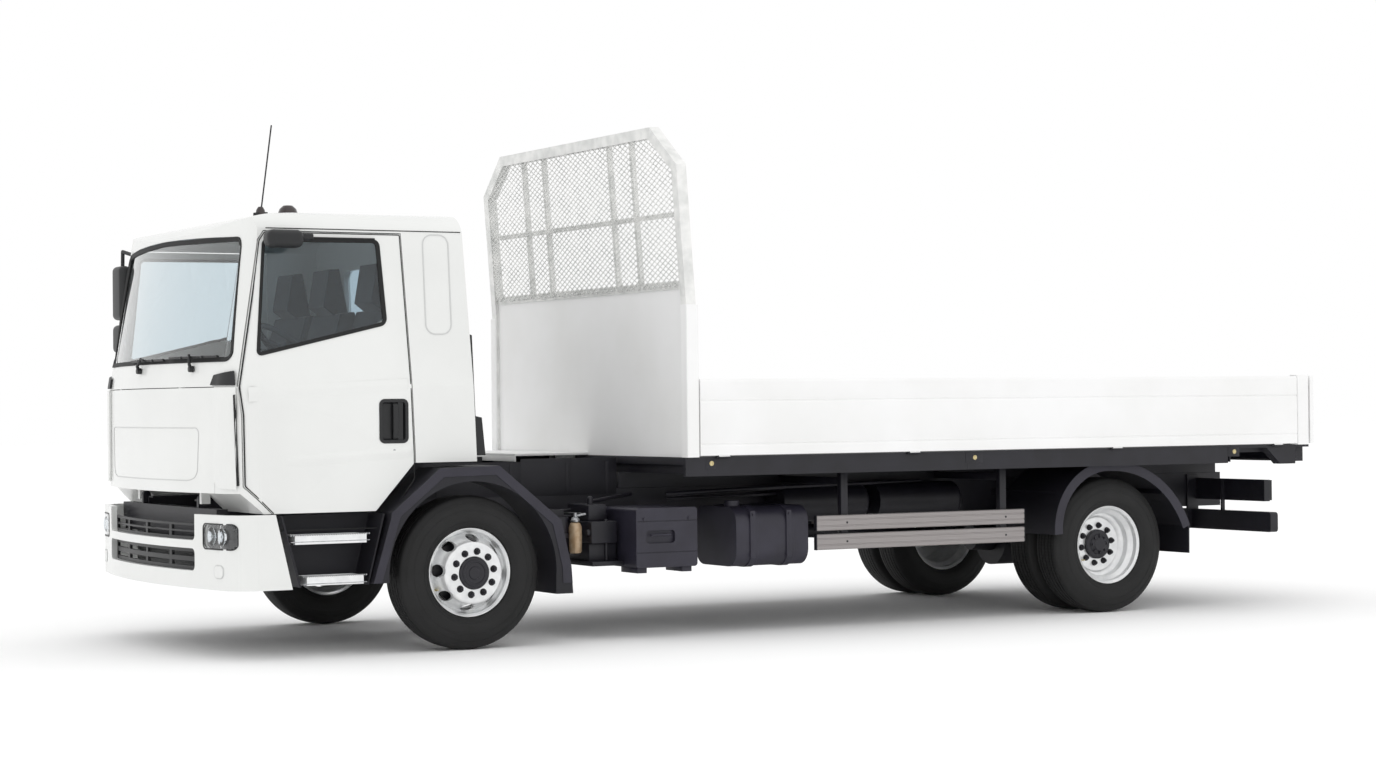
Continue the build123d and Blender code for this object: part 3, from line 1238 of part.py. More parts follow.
def side_y(z):
    """Half the cab's width at a height above the belt line."""
    return cab_half_width - (cab_half_width - roof_side_y) * (z - belt_z) / (seam_z - belt_z)


with BuildPart() as kerb_mirror:
    with BuildSketch(Plane.YZ.offset(front_axle_x - 1120)):
        Polygon((-1160, 2082), (-1175, 2150), (-1130, 2176), (-1060, 2166), (-1062, 2086), align=None)
    extrude(amount=195)
    block((front_axle_x - 930, front_axle_x - 850), (-1090, -side_y(2132) - seat_gap), (2132, 2158))
finish(kerb_mirror, "kerb_mirror")

arm_radius = 11
arm_x = front_axle_x - 1120
arm_y = 1180
housing_rows = [
    # lowest z, highest z of each mirror
    (1790, 2100),
    (1600, 1762),
]


arm_rows = [
    # start, end: two points of each straight of the arm
    ((arm_x + 20, side_y(2150) + seat_gap + 3, 2150), (arm_x - 20, arm_y - 10, 2185)),
    ((arm_x - 20, arm_y - 10, 2185), (arm_x - 30, arm_y, 1500)),
    ((arm_x - 30, arm_y, 1500), (arm_x - 40, side_y(1452) + seat_gap + arm_radius, 1452)),
]
with BuildPart() as mirror_right:
    for start, end in arm_rows:
        rod(start, end, arm_radius)
        with Locations(end):
            Sphere(arm_radius)
    for low_z, high_z in housing_rows:
        with BuildSketch(Plane.XY.offset(low_z)):
            with Locations((arm_x - 35, arm_y - 30)):
                RectangleRounded(70, 168, 30)
        extrude(amount=high_z - low_z)
finish(mirror_right, "mirror_right")

# Wipers at rest along the foot of the windscreen
wiper_rows = [
    # pivot y, blade's two ends in y, height of the blade
    (-640, -880, -370, 1540),
    (60, -290, 240, 1533),
]
pivot_z = 1480
pivot_radius = 16
blade_radius = 8
front_bow_radius = 3910


def front_x(y, z):
    """The cab's front surface above the belt line."""
    return cab_front_x + y ** 2 / (2 * front_bow_radius) + (z - belt_z) * tan(radians(windscreen_lean))


with BuildPart() as wipers:
    for pivot_y, start_y, end_y, blade_z in wiper_rows:
        pivot_x = front_x(pivot_y, pivot_z) - 3.4
        sag = (end_y - start_y) ** 2 / (8 * front_bow_radius)
        away = blade_radius + sag + 2
        middle_y = (start_y + end_y) / 2
        rod((pivot_x - 24, pivot_y, pivot_z), (pivot_x, pivot_y, pivot_z), pivot_radius)
        rod((pivot_x - 16, pivot_y, pivot_z), (front_x(middle_y, blade_z) - away + sag - 6, middle_y, blade_z), 6)
        rod((front_x(start_y, blade_z) - away, start_y, blade_z), (front_x(end_y, blade_z) - away, end_y, blade_z),
            blade_radius)
finish(wipers, "wipers")

# Aerial and the low dome on the roof
with BuildPart() as roof_fittings:
    add(skin(seat_gap, 34))
    with BuildSketch(Plane.XY.offset(2100)):
        with Locations((front_axle_x - 700, -330)):
            Ellipse(48, 34)
        with Locations((front_axle_x - 880, -400)):
            Ellipse(40, 24)
    extrude(amount=400, mode=Mode.INTERSECT)
    rod((front_axle_x - 880, -400, 2300), (front_axle_x - 815, -400, 2780), 4)
finish(roof_fittings, "roof_fittings")
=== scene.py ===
import json
from math import cos, pi, radians, sin, tan

import bmesh
import bpy
from mathutils import Matrix, Vector
from mathutils.bvhtree import BVHTree


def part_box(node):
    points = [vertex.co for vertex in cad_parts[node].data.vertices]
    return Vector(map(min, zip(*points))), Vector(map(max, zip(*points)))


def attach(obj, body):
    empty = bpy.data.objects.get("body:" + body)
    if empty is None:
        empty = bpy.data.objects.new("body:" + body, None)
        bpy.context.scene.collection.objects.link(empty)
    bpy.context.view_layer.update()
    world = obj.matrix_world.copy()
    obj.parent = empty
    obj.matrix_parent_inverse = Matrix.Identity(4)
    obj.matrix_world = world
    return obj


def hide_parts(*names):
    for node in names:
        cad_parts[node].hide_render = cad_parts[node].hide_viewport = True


# Flatbed truck: lengths in metres, X from the cab to the tail, -Y is the truck's left side, Z up.
# Places in the tables are measured along X from the front axle.
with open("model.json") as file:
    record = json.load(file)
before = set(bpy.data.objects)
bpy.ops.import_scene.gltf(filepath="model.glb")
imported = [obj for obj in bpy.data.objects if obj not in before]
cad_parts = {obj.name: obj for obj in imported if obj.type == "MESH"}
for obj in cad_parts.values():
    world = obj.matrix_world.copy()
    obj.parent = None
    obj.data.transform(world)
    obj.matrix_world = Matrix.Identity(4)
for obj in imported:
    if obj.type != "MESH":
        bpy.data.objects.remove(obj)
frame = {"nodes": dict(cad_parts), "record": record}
nodes = frame["nodes"]
scene = bpy.context.scene
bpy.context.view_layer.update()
bodyOf = {node: body for body, members in frame["record"]["behaviour"]["bodies"].items() for node in members}
sides = [(-1, "left", "Left"), (1, "right", "Right")]


def middle(node):
    low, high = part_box(node)
    return (low + high) / 2


frontAxle = middle("tyre_front_left").x
rearAxle = middle("tyres_rear_left").x
axleHeight = middle("tyre_front_left").z


# Materials

def linear(hexColour):
    parts = [int(hexColour[i:i + 2], 16) / 255 for i in (1, 3, 5)]
    return [c / 12.92 if c <= 0.04045 else ((c + 0.055) / 1.055) ** 2.4 for c in parts] + [1]


def addNode(tree, kind, settings=None, inputs=None, target=None):
    # inputs take a value, or another node's output socket; target is the input that the node feeds
    node = tree.nodes.new(kind)
    for name, value in (settings or {}).items():
        setattr(node, name, value)
    for name, value in (inputs or {}).items():
        if isinstance(value, bpy.types.NodeSocket):
            tree.links.new(value, node.inputs[name])
        else:
            node.inputs[name].default_value = value
    if target:
        tree.links.new(node.outputs[0], target)
    return node


def addGrain(tree, shader, place, size, height, detail=2):
    # a fine bump whose grain is size across and height deep
    noise = addNode(tree, "ShaderNodeTexNoise", None, {"Vector": place, "Scale": 1 / size, "Detail": detail})
    addNode(tree, "ShaderNodeBump", None, {"Height": noise.outputs["Fac"], "Distance": height, "Strength": 1},
            shader.inputs["Normal"])


def addTint(tree, shader, place, size, low, high):
    # a slow change between two colours, over patches of a size
    noise = addNode(tree, "ShaderNodeTexNoise", None, {"Vector": place, "Scale": 1 / size, "Detail": 3})
    ramp = addNode(tree, "ShaderNodeValToRGB", None, {"Fac": noise.outputs["Fac"]},
                   shader.inputs["Base Color"])
    for element, position, colour in zip(ramp.color_ramp.elements, (0.35, 0.65), (low, high)):
        element.position = position
        element.color = linear(colour)


def newMaterial(name, slot, colour, roughness, metallic=0, tint=None, grain=None, **sockets):
    # tint is patch size, low and high colour; grain is grain size, height and detail
    material = bpy.data.materials.new(name)
    material.use_nodes = True
    tree, shader, place = partsOf(material)
    sockets.update(Base_Color=linear(colour), Roughness=roughness, Metallic=metallic)
    for socket, value in sockets.items():
        shader.inputs[socket.replace("_", " ")].default_value = value
    if tint:
        addTint(tree, shader, place, *tint)
    if grain:
        addGrain(tree, shader, place, *grain)
    return material


def partsOf(material):
    # a material's tree, its shader and its object coordinates
    tree = material.node_tree
    place = tree.nodes.get("Texture Coordinate") or addNode(tree, "ShaderNodeTexCoord")
    return tree, tree.nodes["Principled BSDF"], place.outputs["Object"]


def millAluminium():
    # extruded aluminium: fine lines along its length stretch the highlights
    material = newMaterial("millAluminium", "aluminium", "#999392", 0.45, 0.6)
    tree, shader, place = partsOf(material)
    stretch = addNode(tree, "ShaderNodeMapping", None, {"Vector": place, "Scale": (4, 400, 400)})
    addTint(tree, shader, stretch.outputs["Vector"], 1, "#979291", "#a19c9b")
    return material


def redLens():
    # moulded red acrylic: small prisms break up its highlights
    material = newMaterial("redAcrylic", "tail_lens", "#9c1414", 0.18, Coat_Weight=0.5)
    tree, shader, place = partsOf(material)
    cells = addNode(tree, "ShaderNodeTexVoronoi", {"distance": "CHEBYCHEV"}, {"Vector": place, "Scale": 120})
    addNode(tree, "ShaderNodeBump", None,
            {"Height": cells.outputs["Distance"], "Distance": 0.001, "Strength": 0.6}, shader.inputs["Normal"])
    return material


def deckPlywood():
    # film-faced birch plywood: its pressed wire pattern gives a dull brown sheen
    material = newMaterial("filmFacedPlywood", "floor_board", "#3b2a20", 0.45, 0, (0.3, "#35261d", "#432f24"))
    tree, shader, place = partsOf(material)
    waves = addNode(tree, "ShaderNodeTexWave", {"wave_type": "BANDS", "bands_direction": "DIAGONAL"},
                    {"Vector": place, "Scale": 60})
    addNode(tree, "ShaderNodeBump", None,
            {"Height": waves.outputs["Fac"], "Distance": 0.0004, "Strength": 0.7}, shader.inputs["Normal"])
    return material


def seatCloth():
    # flat-woven seat cloth, soft and dull: threads 1 mm apart drawn 3 mm apart so that they show
    material = newMaterial("wovenSeatCloth", "seat_cloth", "#34383f", 0.85, 0, (0.02, "#2f333a", "#3c4048"),
                           Sheen_Weight=0.3)
    tree, shader, place = partsOf(material)
    warp, weft = (addNode(tree, "ShaderNodeTexWave", {"bands_direction": axis},
                          {"Vector": place, "Scale": 105}).outputs["Fac"] for axis in ("Y", "Z"))
    both = addNode(tree, "ShaderNodeMath", {"operation": "MULTIPLY"}, {0: warp, 1: weft})
    addNode(tree, "ShaderNodeBump", None,
            {"Height": both.outputs["Value"], "Distance": 0.0008, "Strength": 0.8}, shader.inputs["Normal"])
    return material


def treadRubber(x):
    # tyre rubber, nearly black and dull, with fine cross sipes on the ribs of the tread
    material = newMaterial("treadRubber", "tyre_rubber", "#0d0d0e", 0.7, 0, (0.12, "#0b0b0b", "#121213"))
    tree, shader, place = partsOf(material)
    centred = addNode(tree, "ShaderNodeMapping", None, {"Vector": place, "Location": (-x, 0, -axleHeight)})
    centred = centred.outputs["Vector"]
    parts = addNode(tree, "ShaderNodeSeparateXYZ", None, {"Vector": centred})
    angle = addNode(tree, "ShaderNodeMath", {"operation": "ARCTAN2"},
                    {0: parts.outputs["Z"], 1: parts.outputs["X"]})
    turns = addNode(tree, "ShaderNodeMath", {"operation": "MULTIPLY"}, {0: angle.outputs["Value"], 1: 130})
    wave = addNode(tree, "ShaderNodeMath", {"operation": "SINE"}, {0: turns.outputs["Value"]})
    ridge = addNode(tree, "ShaderNodeMapRange", None,
                    {"Value": wave.outputs["Value"], "From Min": 0.75, "From Max": 0.95})
    flat = addNode(tree, "ShaderNodeVectorMath", {"operation": "MULTIPLY"}, {0: centred, 1: (1, 0, 1)})
    radius = addNode(tree, "ShaderNodeVectorMath", {"operation": "LENGTH"}, {0: flat.outputs["Vector"]})
    onTread = addNode(tree, "ShaderNodeMath", {"operation": "GREATER_THAN"},
                      {0: radius.outputs["Value"], 1: 0.3995})
    cut = addNode(tree, "ShaderNodeMath", {"operation": "MULTIPLY"},
                  {0: ridge.outputs["Result"], 1: onTread.outputs["Value"]})
    grain = addNode(tree, "ShaderNodeTexNoise", None, {"Vector": place, "Scale": 500, "Detail": 3})
    height = addNode(tree, "ShaderNodeMath", {"operation": "MULTIPLY_ADD"},
                     {0: cut.outputs["Value"], 1: -6, 2: grain.outputs["Fac"]})
    addNode(tree, "ShaderNodeBump", None,
            {"Height": height.outputs["Value"], "Distance": 0.0003, "Strength": 1}, shader.inputs["Normal"])
    return material


# two-coat white enamel: the clear coat gives a sharp reflection over a soft base, with faint orange peel
enamel = newMaterial("whiteEnamel", "white_paint", "#e4e5e3", 0.42, 0, (0.6, "#e2e3e1", "#e7e8e6"),
                     (0.006, 0.00004), Coat_Weight=0.6, Coat_Roughness=0.06)
# coil-coated steel sheet: flatter white than the cab, with the faint waviness of rolled sheet
sheet = newMaterial("coatedSheet", "white_paint", "#f3f3f3", 0.5, 0, (0.5, "#f0f0ef", "#f5f5f5"),
                    (0.05, 0.00012, 1))
# galvanised tube, brushed over with white: greyer than the sheet and a little patchy
galvanised = newMaterial("paintedGalvanised", "white_paint", "#e4e5e4", 0.55, 0, (0.08, "#d9dad8", "#eeeeec"),
                         (0.004, 0.0001))
# grey-painted plastic between the bumper's openings: flat and even; the same grey on the thin lines round
# pressed edges and rims is painted shade
louvreGreyAndLineShade = newMaterial("greyLouvreAndLineShade", "white_paint", "#c9cac9", 0.5, 0, None, (0.003, 0.00008))
# blue-black chassis enamel: low gloss over blasted steel, with a trace of dust
chassisEnamel = newMaterial("chassisEnamel", "chassis_paint", "#100f17", 0.48, 0,
                            (0.15, "#100f17", "#181720"), (0.004, 0.00015))
# the same enamel on the tank and the battery box, made paler than the chassis as painted light
litBoxEnamel = newMaterial("litBoxEnamel", "chassis_paint", "#23212d", 0.48, 0, (0.15, "#23212d", "#2b2936"),
                        (0.004, 0.00015))
# navy-black enamel of the hubs: cleaner and glossier than the chassis
hubPaint = newMaterial("hubEnamel", "chassis_paint", "#14131c", 0.38, 0, None, (0.004, 0.0001))
# grey-painted cast iron: rough and dull
iron = newMaterial("castIronGrey", "chassis_paint", "#26262a", 0.65, 0, None, (0.006, 0.0006, 4))
# tan lacquer over the copper drain bottle: a warm, half-metallic sheen
copper = newMaterial("copperLacquer", "chassis_paint", "#b39a7c", 0.4, 0.35, (0.03, "#a78c6d", "#bda78b"))
# blue-grey moulded polypropylene of the mudguards and step housings: grained, so it has no sharp gloss
guard = newMaterial("mouldedGuard", "black_plastic", "#0f0e12", 0.6, 0, (0.2, "#0f0e16", "#15141d"),
                    (0.0025, 0.0002))
# blue-grey flange of the mudguards, a little glossier than the moulded skin behind it
guardRim = newMaterial("flangePlastic", "black_plastic", "#3f3d4a", 0.5, 0, (0.2, "#1f1d29", "#272531"),
                       (0.0025, 0.00015))
# black ABS with a leather-like grain that breaks up its highlights: trims, mirrors and lamp rims
blackAbs = newMaterial("blackAbs", "black_plastic", "#17181a", 0.45, 0, None, (0.002, 0.00012))
# slush-moulded dashboard skin: dark blue-grey, without gloss
dashSkin = newMaterial("dashboardSkin", "black_plastic", "#3a3f46", 0.62, 0, None, (0.0022, 0.0002))
# extruded EPDM: dull black with a soft sheen at grazing angles
rubber = newMaterial("sealRubber", "black_plastic", "#121314", 0.7, 0, None, (0.003, 0.00005))
# brown-black glossy plastic of the roof domes
roofPlastic = newMaterial("domePlastic", "black_plastic", "#2a1f1f", 0.25, 0, None, (0.003, 0.00005),
                          Coat_Weight=0.4)
# silver lacquer over steel: fine metal flake gives a slightly uneven glitter
silver = newMaterial("silverLacquer", "wheel_paint", "#e6e7e8", 0.3, 0.55, (0.05, "#e2e3e4", "#eeefef"),
                     (0.0018, 0.00005))
# phosphated wheel nuts: nearly black, with a faint metallic sheen
darkNut = newMaterial("phosphatedSteel", "wheel_paint", "#2a292e", 0.42, 0.6, (0.01, "#212024", "#353439"))
# yellow-passivated bolt heads and valves: a pale brassy glint
brass = newMaterial("yellowZinc", "aluminium", "#c8b98a", 0.35, 0.85, (0.01, "#b7a571", "#d6c99e"))
# zinc-plated steel of bolts and catches: a cool, blotchy sheen
zinc = newMaterial("zincSteel", "aluminium", "#a8a9ab", 0.38, 0.9, (0.01, "#989a9c", "#b8b9bb"))
# silvered mirror: a clear reflection
silvered = newMaterial("mirrorGlass", "lamp_lens", "#dfe3e6", 0.02, 1)
# clear polycarbonate lamp lens: shows the reflectors behind it
clearLens = newMaterial("clearPolycarbonate", "lamp_lens", "#f4f6f7", 0.03, Transmission_Weight=1, IOR=1.58)
# 5 mm safety glass with a light blue-green tint
sideGlass = newMaterial("tintedGlass", "window_glass", "#cfdde5", 0.01, Transmission_Weight=1, IOR=1.5)
# laminated windscreen, paler than the door glass
frontGlass = newMaterial("laminatedGlass", "window_glass", "#f4f8f8", 0.01, Transmission_Weight=1, IOR=1.5)
aluminium = millAluminium()
redAcrylic = redLens()
plywood = deckPlywood()
cloth = seatCloth()
treads = {x: treadRubber(x) for x in (frontAxle, rearAxle)}
print("materials made")


# Helpers for pieces

def at(x, y, z):
    # a point whose x is measured from the front axle
    return Vector((frontAxle + x, y, z))


def rectangle(a0, a1, b0, b1):
    return [(a0, b0), (a1, b0), (a1, b1), (a0, b1)]


def addPiece(name, bm, body, material, angle=None, replaced=()):
    # a bmesh as a piece that rides on a body, shaded smooth up to an angle
    mesh = bpy.data.meshes.new(name)
    bm.to_mesh(mesh)
    bm.free()
    mesh.materials.append(material)
    piece = bpy.data.objects.new(name, mesh)
    scene.collection.objects.link(piece)
    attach(piece, body)
    if replaced:
        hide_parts(*replaced)
    return smooth(piece, angle) if angle else piece


def addSolid(name, bm, body, material, angle=35, replaced=()):
    finishNormals(bm)
    return addPiece(name, bm, body, material, angle, replaced)


def finishNormals(bm):
    bmesh.ops.remove_doubles(bm, verts=bm.verts, dist=0.00001)
    bmesh.ops.recalc_face_normals(bm, faces=bm.faces)


def faceOutwards(bm, side):
    # turns an open skin to the truck's side
    bmesh.ops.recalc_face_normals(bm, faces=bm.faces)
    if sum(face.normal.y * side * face.calc_area() for face in bm.faces) < 0:
        bmesh.ops.reverse_faces(bm, faces=bm.faces)


def smooth(piece, angle=35):
    piece.data.polygons.foreach_set("use_smooth", [True] * len(piece.data.polygons))
    piece.data.set_sharp_from_angle(angle=radians(angle))
    return piece


def soften(piece, width=0.001, segments=2, angle=40):
    # rounds a piece's sharp edges
    bevel = piece.modifiers.new("softEdges", "BEVEL")
    bevel.width = width
    bevel.segments = segments
    bevel.limit_method = "ANGLE"
    bevel.angle_limit = radians(angle)
    return smooth(piece, angle)


def softCopy(node, material, width):
    # a copy of a CAD node with its flat triangles joined and its edges softened
    bm = bmesh.new()
    bm.from_mesh(nodes[node].data)
    bmesh.ops.remove_doubles(bm, verts=bm.verts, dist=0.00002)
    bmesh.ops.dissolve_limit(bm, angle_limit=radians(0.4), use_dissolve_boundaries=False, verts=bm.verts,
                             edges=bm.edges)
    piece = soften(addPiece(node + "Skin", bm, bodyOf[node], material, None, [node]), width, 2, 25)
    piece.modifiers["softEdges"].harden_normals = True
    return piece


def paintFaces(piece, material, test):
    # gives the faces that pass a test a second material
    piece.data.materials.append(material)
    index = len(piece.data.materials) - 1
    for face in piece.data.polygons:
        if test(face):
            face.material_index = index


def extruded(bm, faces, shift):
    grown = bmesh.ops.extrude_face_region(bm, geom=list(faces))["geom"]
    moved = [part for part in grown if isinstance(part, bmesh.types.BMVert)]
    bmesh.ops.translate(bm, vec=shift, verts=moved)
    return moved


def addPlate(bm, outline, shift):
    extruded(bm, [bm.faces.new([bm.verts.new(point) for point in outline])], shift)


def addBox(bm, low, high, edge=0, segments=2):
    # a box between two corners, with softened edges
    low, high = Vector(low), Vector(high)
    made = bmesh.ops.create_cube(bm, size=1)["verts"]
    bmesh.ops.scale(bm, vec=[abs(c) for c in high - low], verts=made)
    bmesh.ops.translate(bm, vec=(low + high) / 2, verts=made)
    if edge:
        edges = {link for vert in made for link in vert.link_edges}
        bmesh.ops.bevel(bm, geom=list(edges), offset=edge, segments=segments, profile=0.5, affect="EDGES",
                        material=-1)


def addBoxes(bm, rows, segments=2):
    # rows of two corners measured from the front axle and the width of the soft edges
    for low, high, edge in rows:
        addBox(bm, at(*low), at(*high), edge, segments)


def addRod(bm, start, end, radius, endRadius=None, steps=20):
    start, end = Vector(start), Vector(end)
    turn = (end - start).to_track_quat("Z", "Y").to_matrix().to_4x4()
    bmesh.ops.create_cone(bm, cap_ends=True, segments=steps, radius1=radius,
                          radius2=radius if endRadius is None else endRadius, depth=(end - start).length,
                          matrix=Matrix.Translation((start + end) / 2) @ turn)


def addStud(bm, spot, side, start, end, radius, endRadius=None, steps=20):
    # a round bar across the truck, between two distances outwards from a spot
    out = Vector((0, side, 0))
    addRod(bm, spot + out * start, spot + out * end, radius, endRadius, steps)


def addBall(bm, centre, radius, steps, rings):
    bmesh.ops.create_uvsphere(bm, u_segments=steps, v_segments=rings, radius=radius,
                              matrix=Matrix.Translation(centre))


def addLathe(bm, profile, centre, axis="Y", steps=64, closed=False):
    # spins points of (radius, distance along the axis) round an axis through a centre
    centre = Vector(centre)
    along = Vector([axis == letter for letter in "XYZ"])
    out = Vector((0, 0, 1)) if axis == "X" else Vector((1, 0, 0))
    verts = [bm.verts.new(centre + out * radius + along * distance) for radius, distance in profile]
    edges = [bm.edges.new(pair) for pair in zip(verts, verts[1:])]
    if closed:
        edges.append(bm.edges.new((verts[-1], verts[0])))
    bmesh.ops.spin(bm, geom=verts + edges, cent=centre, axis=along, angle=2 * pi, steps=steps, use_merge=True)
    bmesh.ops.remove_doubles(bm, verts=bm.verts, dist=0.00001)


def addLoft(bm, rings, closed=False):
    # joins rings of points one after another
    loops = []
    for ring in rings:
        verts = [bm.verts.new(point) for point in ring]
        ends = verts[1:] + verts[:1] if closed else verts[1:]
        loops.append([bm.edges.new(pair) for pair in zip(verts, ends)])
    for low, high in zip(loops, loops[1:]):
        bmesh.ops.bridge_loops(bm, edges=low + high)


def cutAway(piece, cutter):
    # takes one bmesh out of a finished piece
    mesh = bpy.data.meshes.new("cutter")
    cutter.to_mesh(mesh)
    cutter.free()
    tool = bpy.data.objects.new("cutter", mesh)
    scene.collection.objects.link(tool)
    cut = piece.modifiers.new("cut", "BOOLEAN")
    cut.object = tool
    cut.solver = "EXACT"
    bpy.context.view_layer.update()
    done = bpy.data.meshes.new_from_object(piece.evaluated_get(bpy.context.evaluated_depsgraph_get()))
    piece.modifiers.remove(cut)
    old = piece.data
    piece.data = done
    bpy.data.meshes.remove(old)
    bpy.data.objects.remove(tool)
    bpy.data.meshes.remove(mesh)


# Tools for laying trim on the cab's curved panels

def surfaceOf(*names):
    bm = bmesh.new()
    for name in names:
        bm.from_mesh(nodes[name].data)
    tree = BVHTree.FromBMesh(bm)
    bm.free()
    return tree


drapeShape = {"start": 3, "jitter": 0.008}


def drape(verts, tree, direction, lift):
    # Moves points along a direction until they stand proud of a surface by lift. Five rays at each point keep
    # it from falling into a seam, and the nearest point serves where all five miss.
    start, jitter = drapeShape["start"], drapeShape["jitter"]
    across = direction.orthogonal().normalized()
    above = direction.cross(across)
    spots = [Vector((0, 0, 0)), across * jitter, -across * jitter, above * jitter, -above * jitter]
    for vert in verts:
        hits = [tree.ray_cast(vert.co + spot - direction * start, direction)[3] for spot in spots]
        hits = [hit for hit in hits if hit is not None]
        if not hits:
            hits = [(tree.find_nearest(vert.co)[0] - vert.co).dot(direction) + start]
        vert.co += direction * (min(hits) - start - lift)


def largest(faces):
    return max(faces, key=lambda face: face.calc_area())


def roundedFace(bm, outline, radius, step=0.08):
    # a face with rounded corners and its long sides divided
    verts = [bm.verts.new(point) for point in outline]
    bm.faces.new(verts)
    bmesh.ops.bevel(bm, geom=verts, offset=radius, segments=6, profile=0.5, affect="VERTICES", material=-1)
    face = largest(bm.faces)
    for edge in list(face.edges):
        cuts = int(edge.calc_length() / step)
        if cuts:
            bmesh.ops.subdivide_edges(bm, edges=[edge], cuts=cuts)
    bm.faces.ensure_lookup_table()
    return face


def addTrimRing(bm, outline, radius, width, tree, direction, lift, sink=0.002):
    # a band of trim along a closed outline: width across, standing proud of the surface by lift
    made = bmesh.new()
    face = roundedFace(made, outline, radius)
    bmesh.ops.inset_region(made, faces=[face], thickness=width, use_even_offset=True, use_boundary=True)
    bmesh.ops.delete(made, geom=[largest(made.faces)], context="FACES_ONLY")
    layTrim(bm, made, tree, direction, lift, sink)


def addTrimPlate(bm, outline, radius, tree, direction, lift, sink=0.002, step=0.06):
    # a thin plate inside a closed outline, standing proud of the surface by lift
    made = bmesh.new()
    face = roundedFace(made, outline, radius, step)
    bmesh.ops.triangulate(made, faces=[face])
    for _ in range(2):
        longEdges = [edge for edge in made.edges if edge.calc_length() > step * 1.5 and not edge.is_boundary]
        if longEdges:
            bmesh.ops.subdivide_edges(made, edges=longEdges, cuts=1)
            bmesh.ops.triangulate(made, faces=made.faces)
    layTrim(bm, made, tree, direction, lift, sink)


def layTrim(bm, made, tree, direction, lift, sink):
    # lays flat faces on a surface, gives them thickness and joins them to a piece's mesh
    direction = Vector(direction)
    drape(made.verts, tree, direction, -sink)
    extruded(made, made.faces, -direction * (lift + sink))
    bmesh.ops.recalc_face_normals(made, faces=made.faces)
    mesh = bpy.data.meshes.new("trim")
    made.to_mesh(mesh)
    made.free()
    bm.from_mesh(mesh)
    bpy.data.meshes.remove(mesh)


def sidePoints(side, points):
    # an outline beside the truck, from which trim is laid inwards
    return [at(x, side * 1.3, z) for x, z in points]


def frontPoints(points):
    # an outline ahead of the truck, from which trim is laid backwards
    return [at(-1.9, y, z) for y, z in points]


backwards = (1, 0, 0)


# Camera and studio

cameraSettings = {"place": (-7.9785, -13.881, 1.278), "yaw": 29.247, "pitch": 0.416, "roll": -0.579,
                  "lens": 70.02, "sensor": 36, "reach": 200}


def makeCamera(settings):
    yaw, pitch, roll = (radians(settings[k]) for k in ("yaw", "pitch", "roll"))
    forward = Vector((sin(yaw) * cos(pitch), cos(yaw) * cos(pitch), sin(pitch)))
    right = Vector((cos(yaw), -sin(yaw), 0))
    up = right.cross(forward)
    across = cos(roll) * right + sin(roll) * up
    above = cos(roll) * up - sin(roll) * right
    data = bpy.data.cameras.new("photoCamera")
    data.lens = settings["lens"]
    data.sensor_width = settings["sensor"]
    data.clip_end = settings["reach"]
    camera = bpy.data.objects.new("photoCamera", data)
    turn = Matrix((across, above, -forward)).transposed().to_4x4()
    camera.matrix_world = Matrix.Translation(settings["place"]) @ turn
    scene.collection.objects.link(camera)
    scene.camera = camera


studio = {"floorSize": 160, "worldStrength": 1.06, "lamps": [
    # name, place, aim, size, watts
    ("topSoftbox", (-1, -3, 9), (0, 0, 0.8), 9, 42),
    ("frontSoftbox", (-11, -5, 5), (-2, 0, 1), 5, 14),
]}


def makeStudio(settings):
    # the world is plain white to the camera, in reflections and through glass, and lights the rest at its
    # own strength
    world = bpy.data.worlds.new("studioWorld")
    scene.world = world
    world.use_nodes = True
    tree = world.node_tree
    background = tree.nodes["Background"]
    rays = addNode(tree, "ShaderNodeLightPath")
    seen = addNode(tree, "ShaderNodeMath", {"operation": "MAXIMUM"},
                   {0: rays.outputs["Is Camera Ray"], 1: rays.outputs["Is Glossy Ray"]})
    seenThrough = addNode(tree, "ShaderNodeMath", {"operation": "MAXIMUM"},
                          {0: seen.outputs["Value"], 1: rays.outputs["Is Transmission Ray"]})
    background.inputs["Color"].default_value = (1, 1, 1, 1)
    addNode(tree, "ShaderNodeMapRange", None, {
        "Value": seenThrough.outputs["Value"], "To Min": settings["worldStrength"], "To Max": 1
    }, background.inputs["Strength"])

    bm = bmesh.new()
    bmesh.ops.create_grid(bm, x_segments=1, y_segments=1, size=settings["floorSize"] / 2)
    mesh = bpy.data.meshes.new("studioFloor")
    bm.to_mesh(mesh)
    bm.free()
    floor = bpy.data.objects.new("studioFloor", mesh)
    scene.collection.objects.link(floor)
    # matt white studio paper: takes the soft shadow and shows no reflection
    material = bpy.data.materials.new("studioPaper")
    material.use_nodes = True
    paper = material.node_tree
    paper.nodes.remove(paper.nodes["Principled BSDF"])
    addNode(paper, "ShaderNodeBsdfDiffuse", None, {"Color": (1, 1, 1, 1)},
            paper.nodes["Material Output"].inputs["Surface"])
    mesh.materials.append(material)

    for name, place, aim, size, watts in settings["lamps"]:
        data = bpy.data.lights.new(name, "AREA")
        data.size = size
        data.energy = watts
        lamp = bpy.data.objects.new(name, data)
        turn = (Vector(aim) - Vector(place)).to_track_quat("-Z", "Y").to_matrix().to_4x4()
        lamp.matrix_world = Matrix.Translation(place) @ turn
        scene.collection.objects.link(lamp)
    scene.view_settings.view_transform = "Standard"


makeCamera(cameraSettings)
makeStudio(studio)
print("camera and studio placed")


# Painted panels and frames: the CAD solids with softened edges

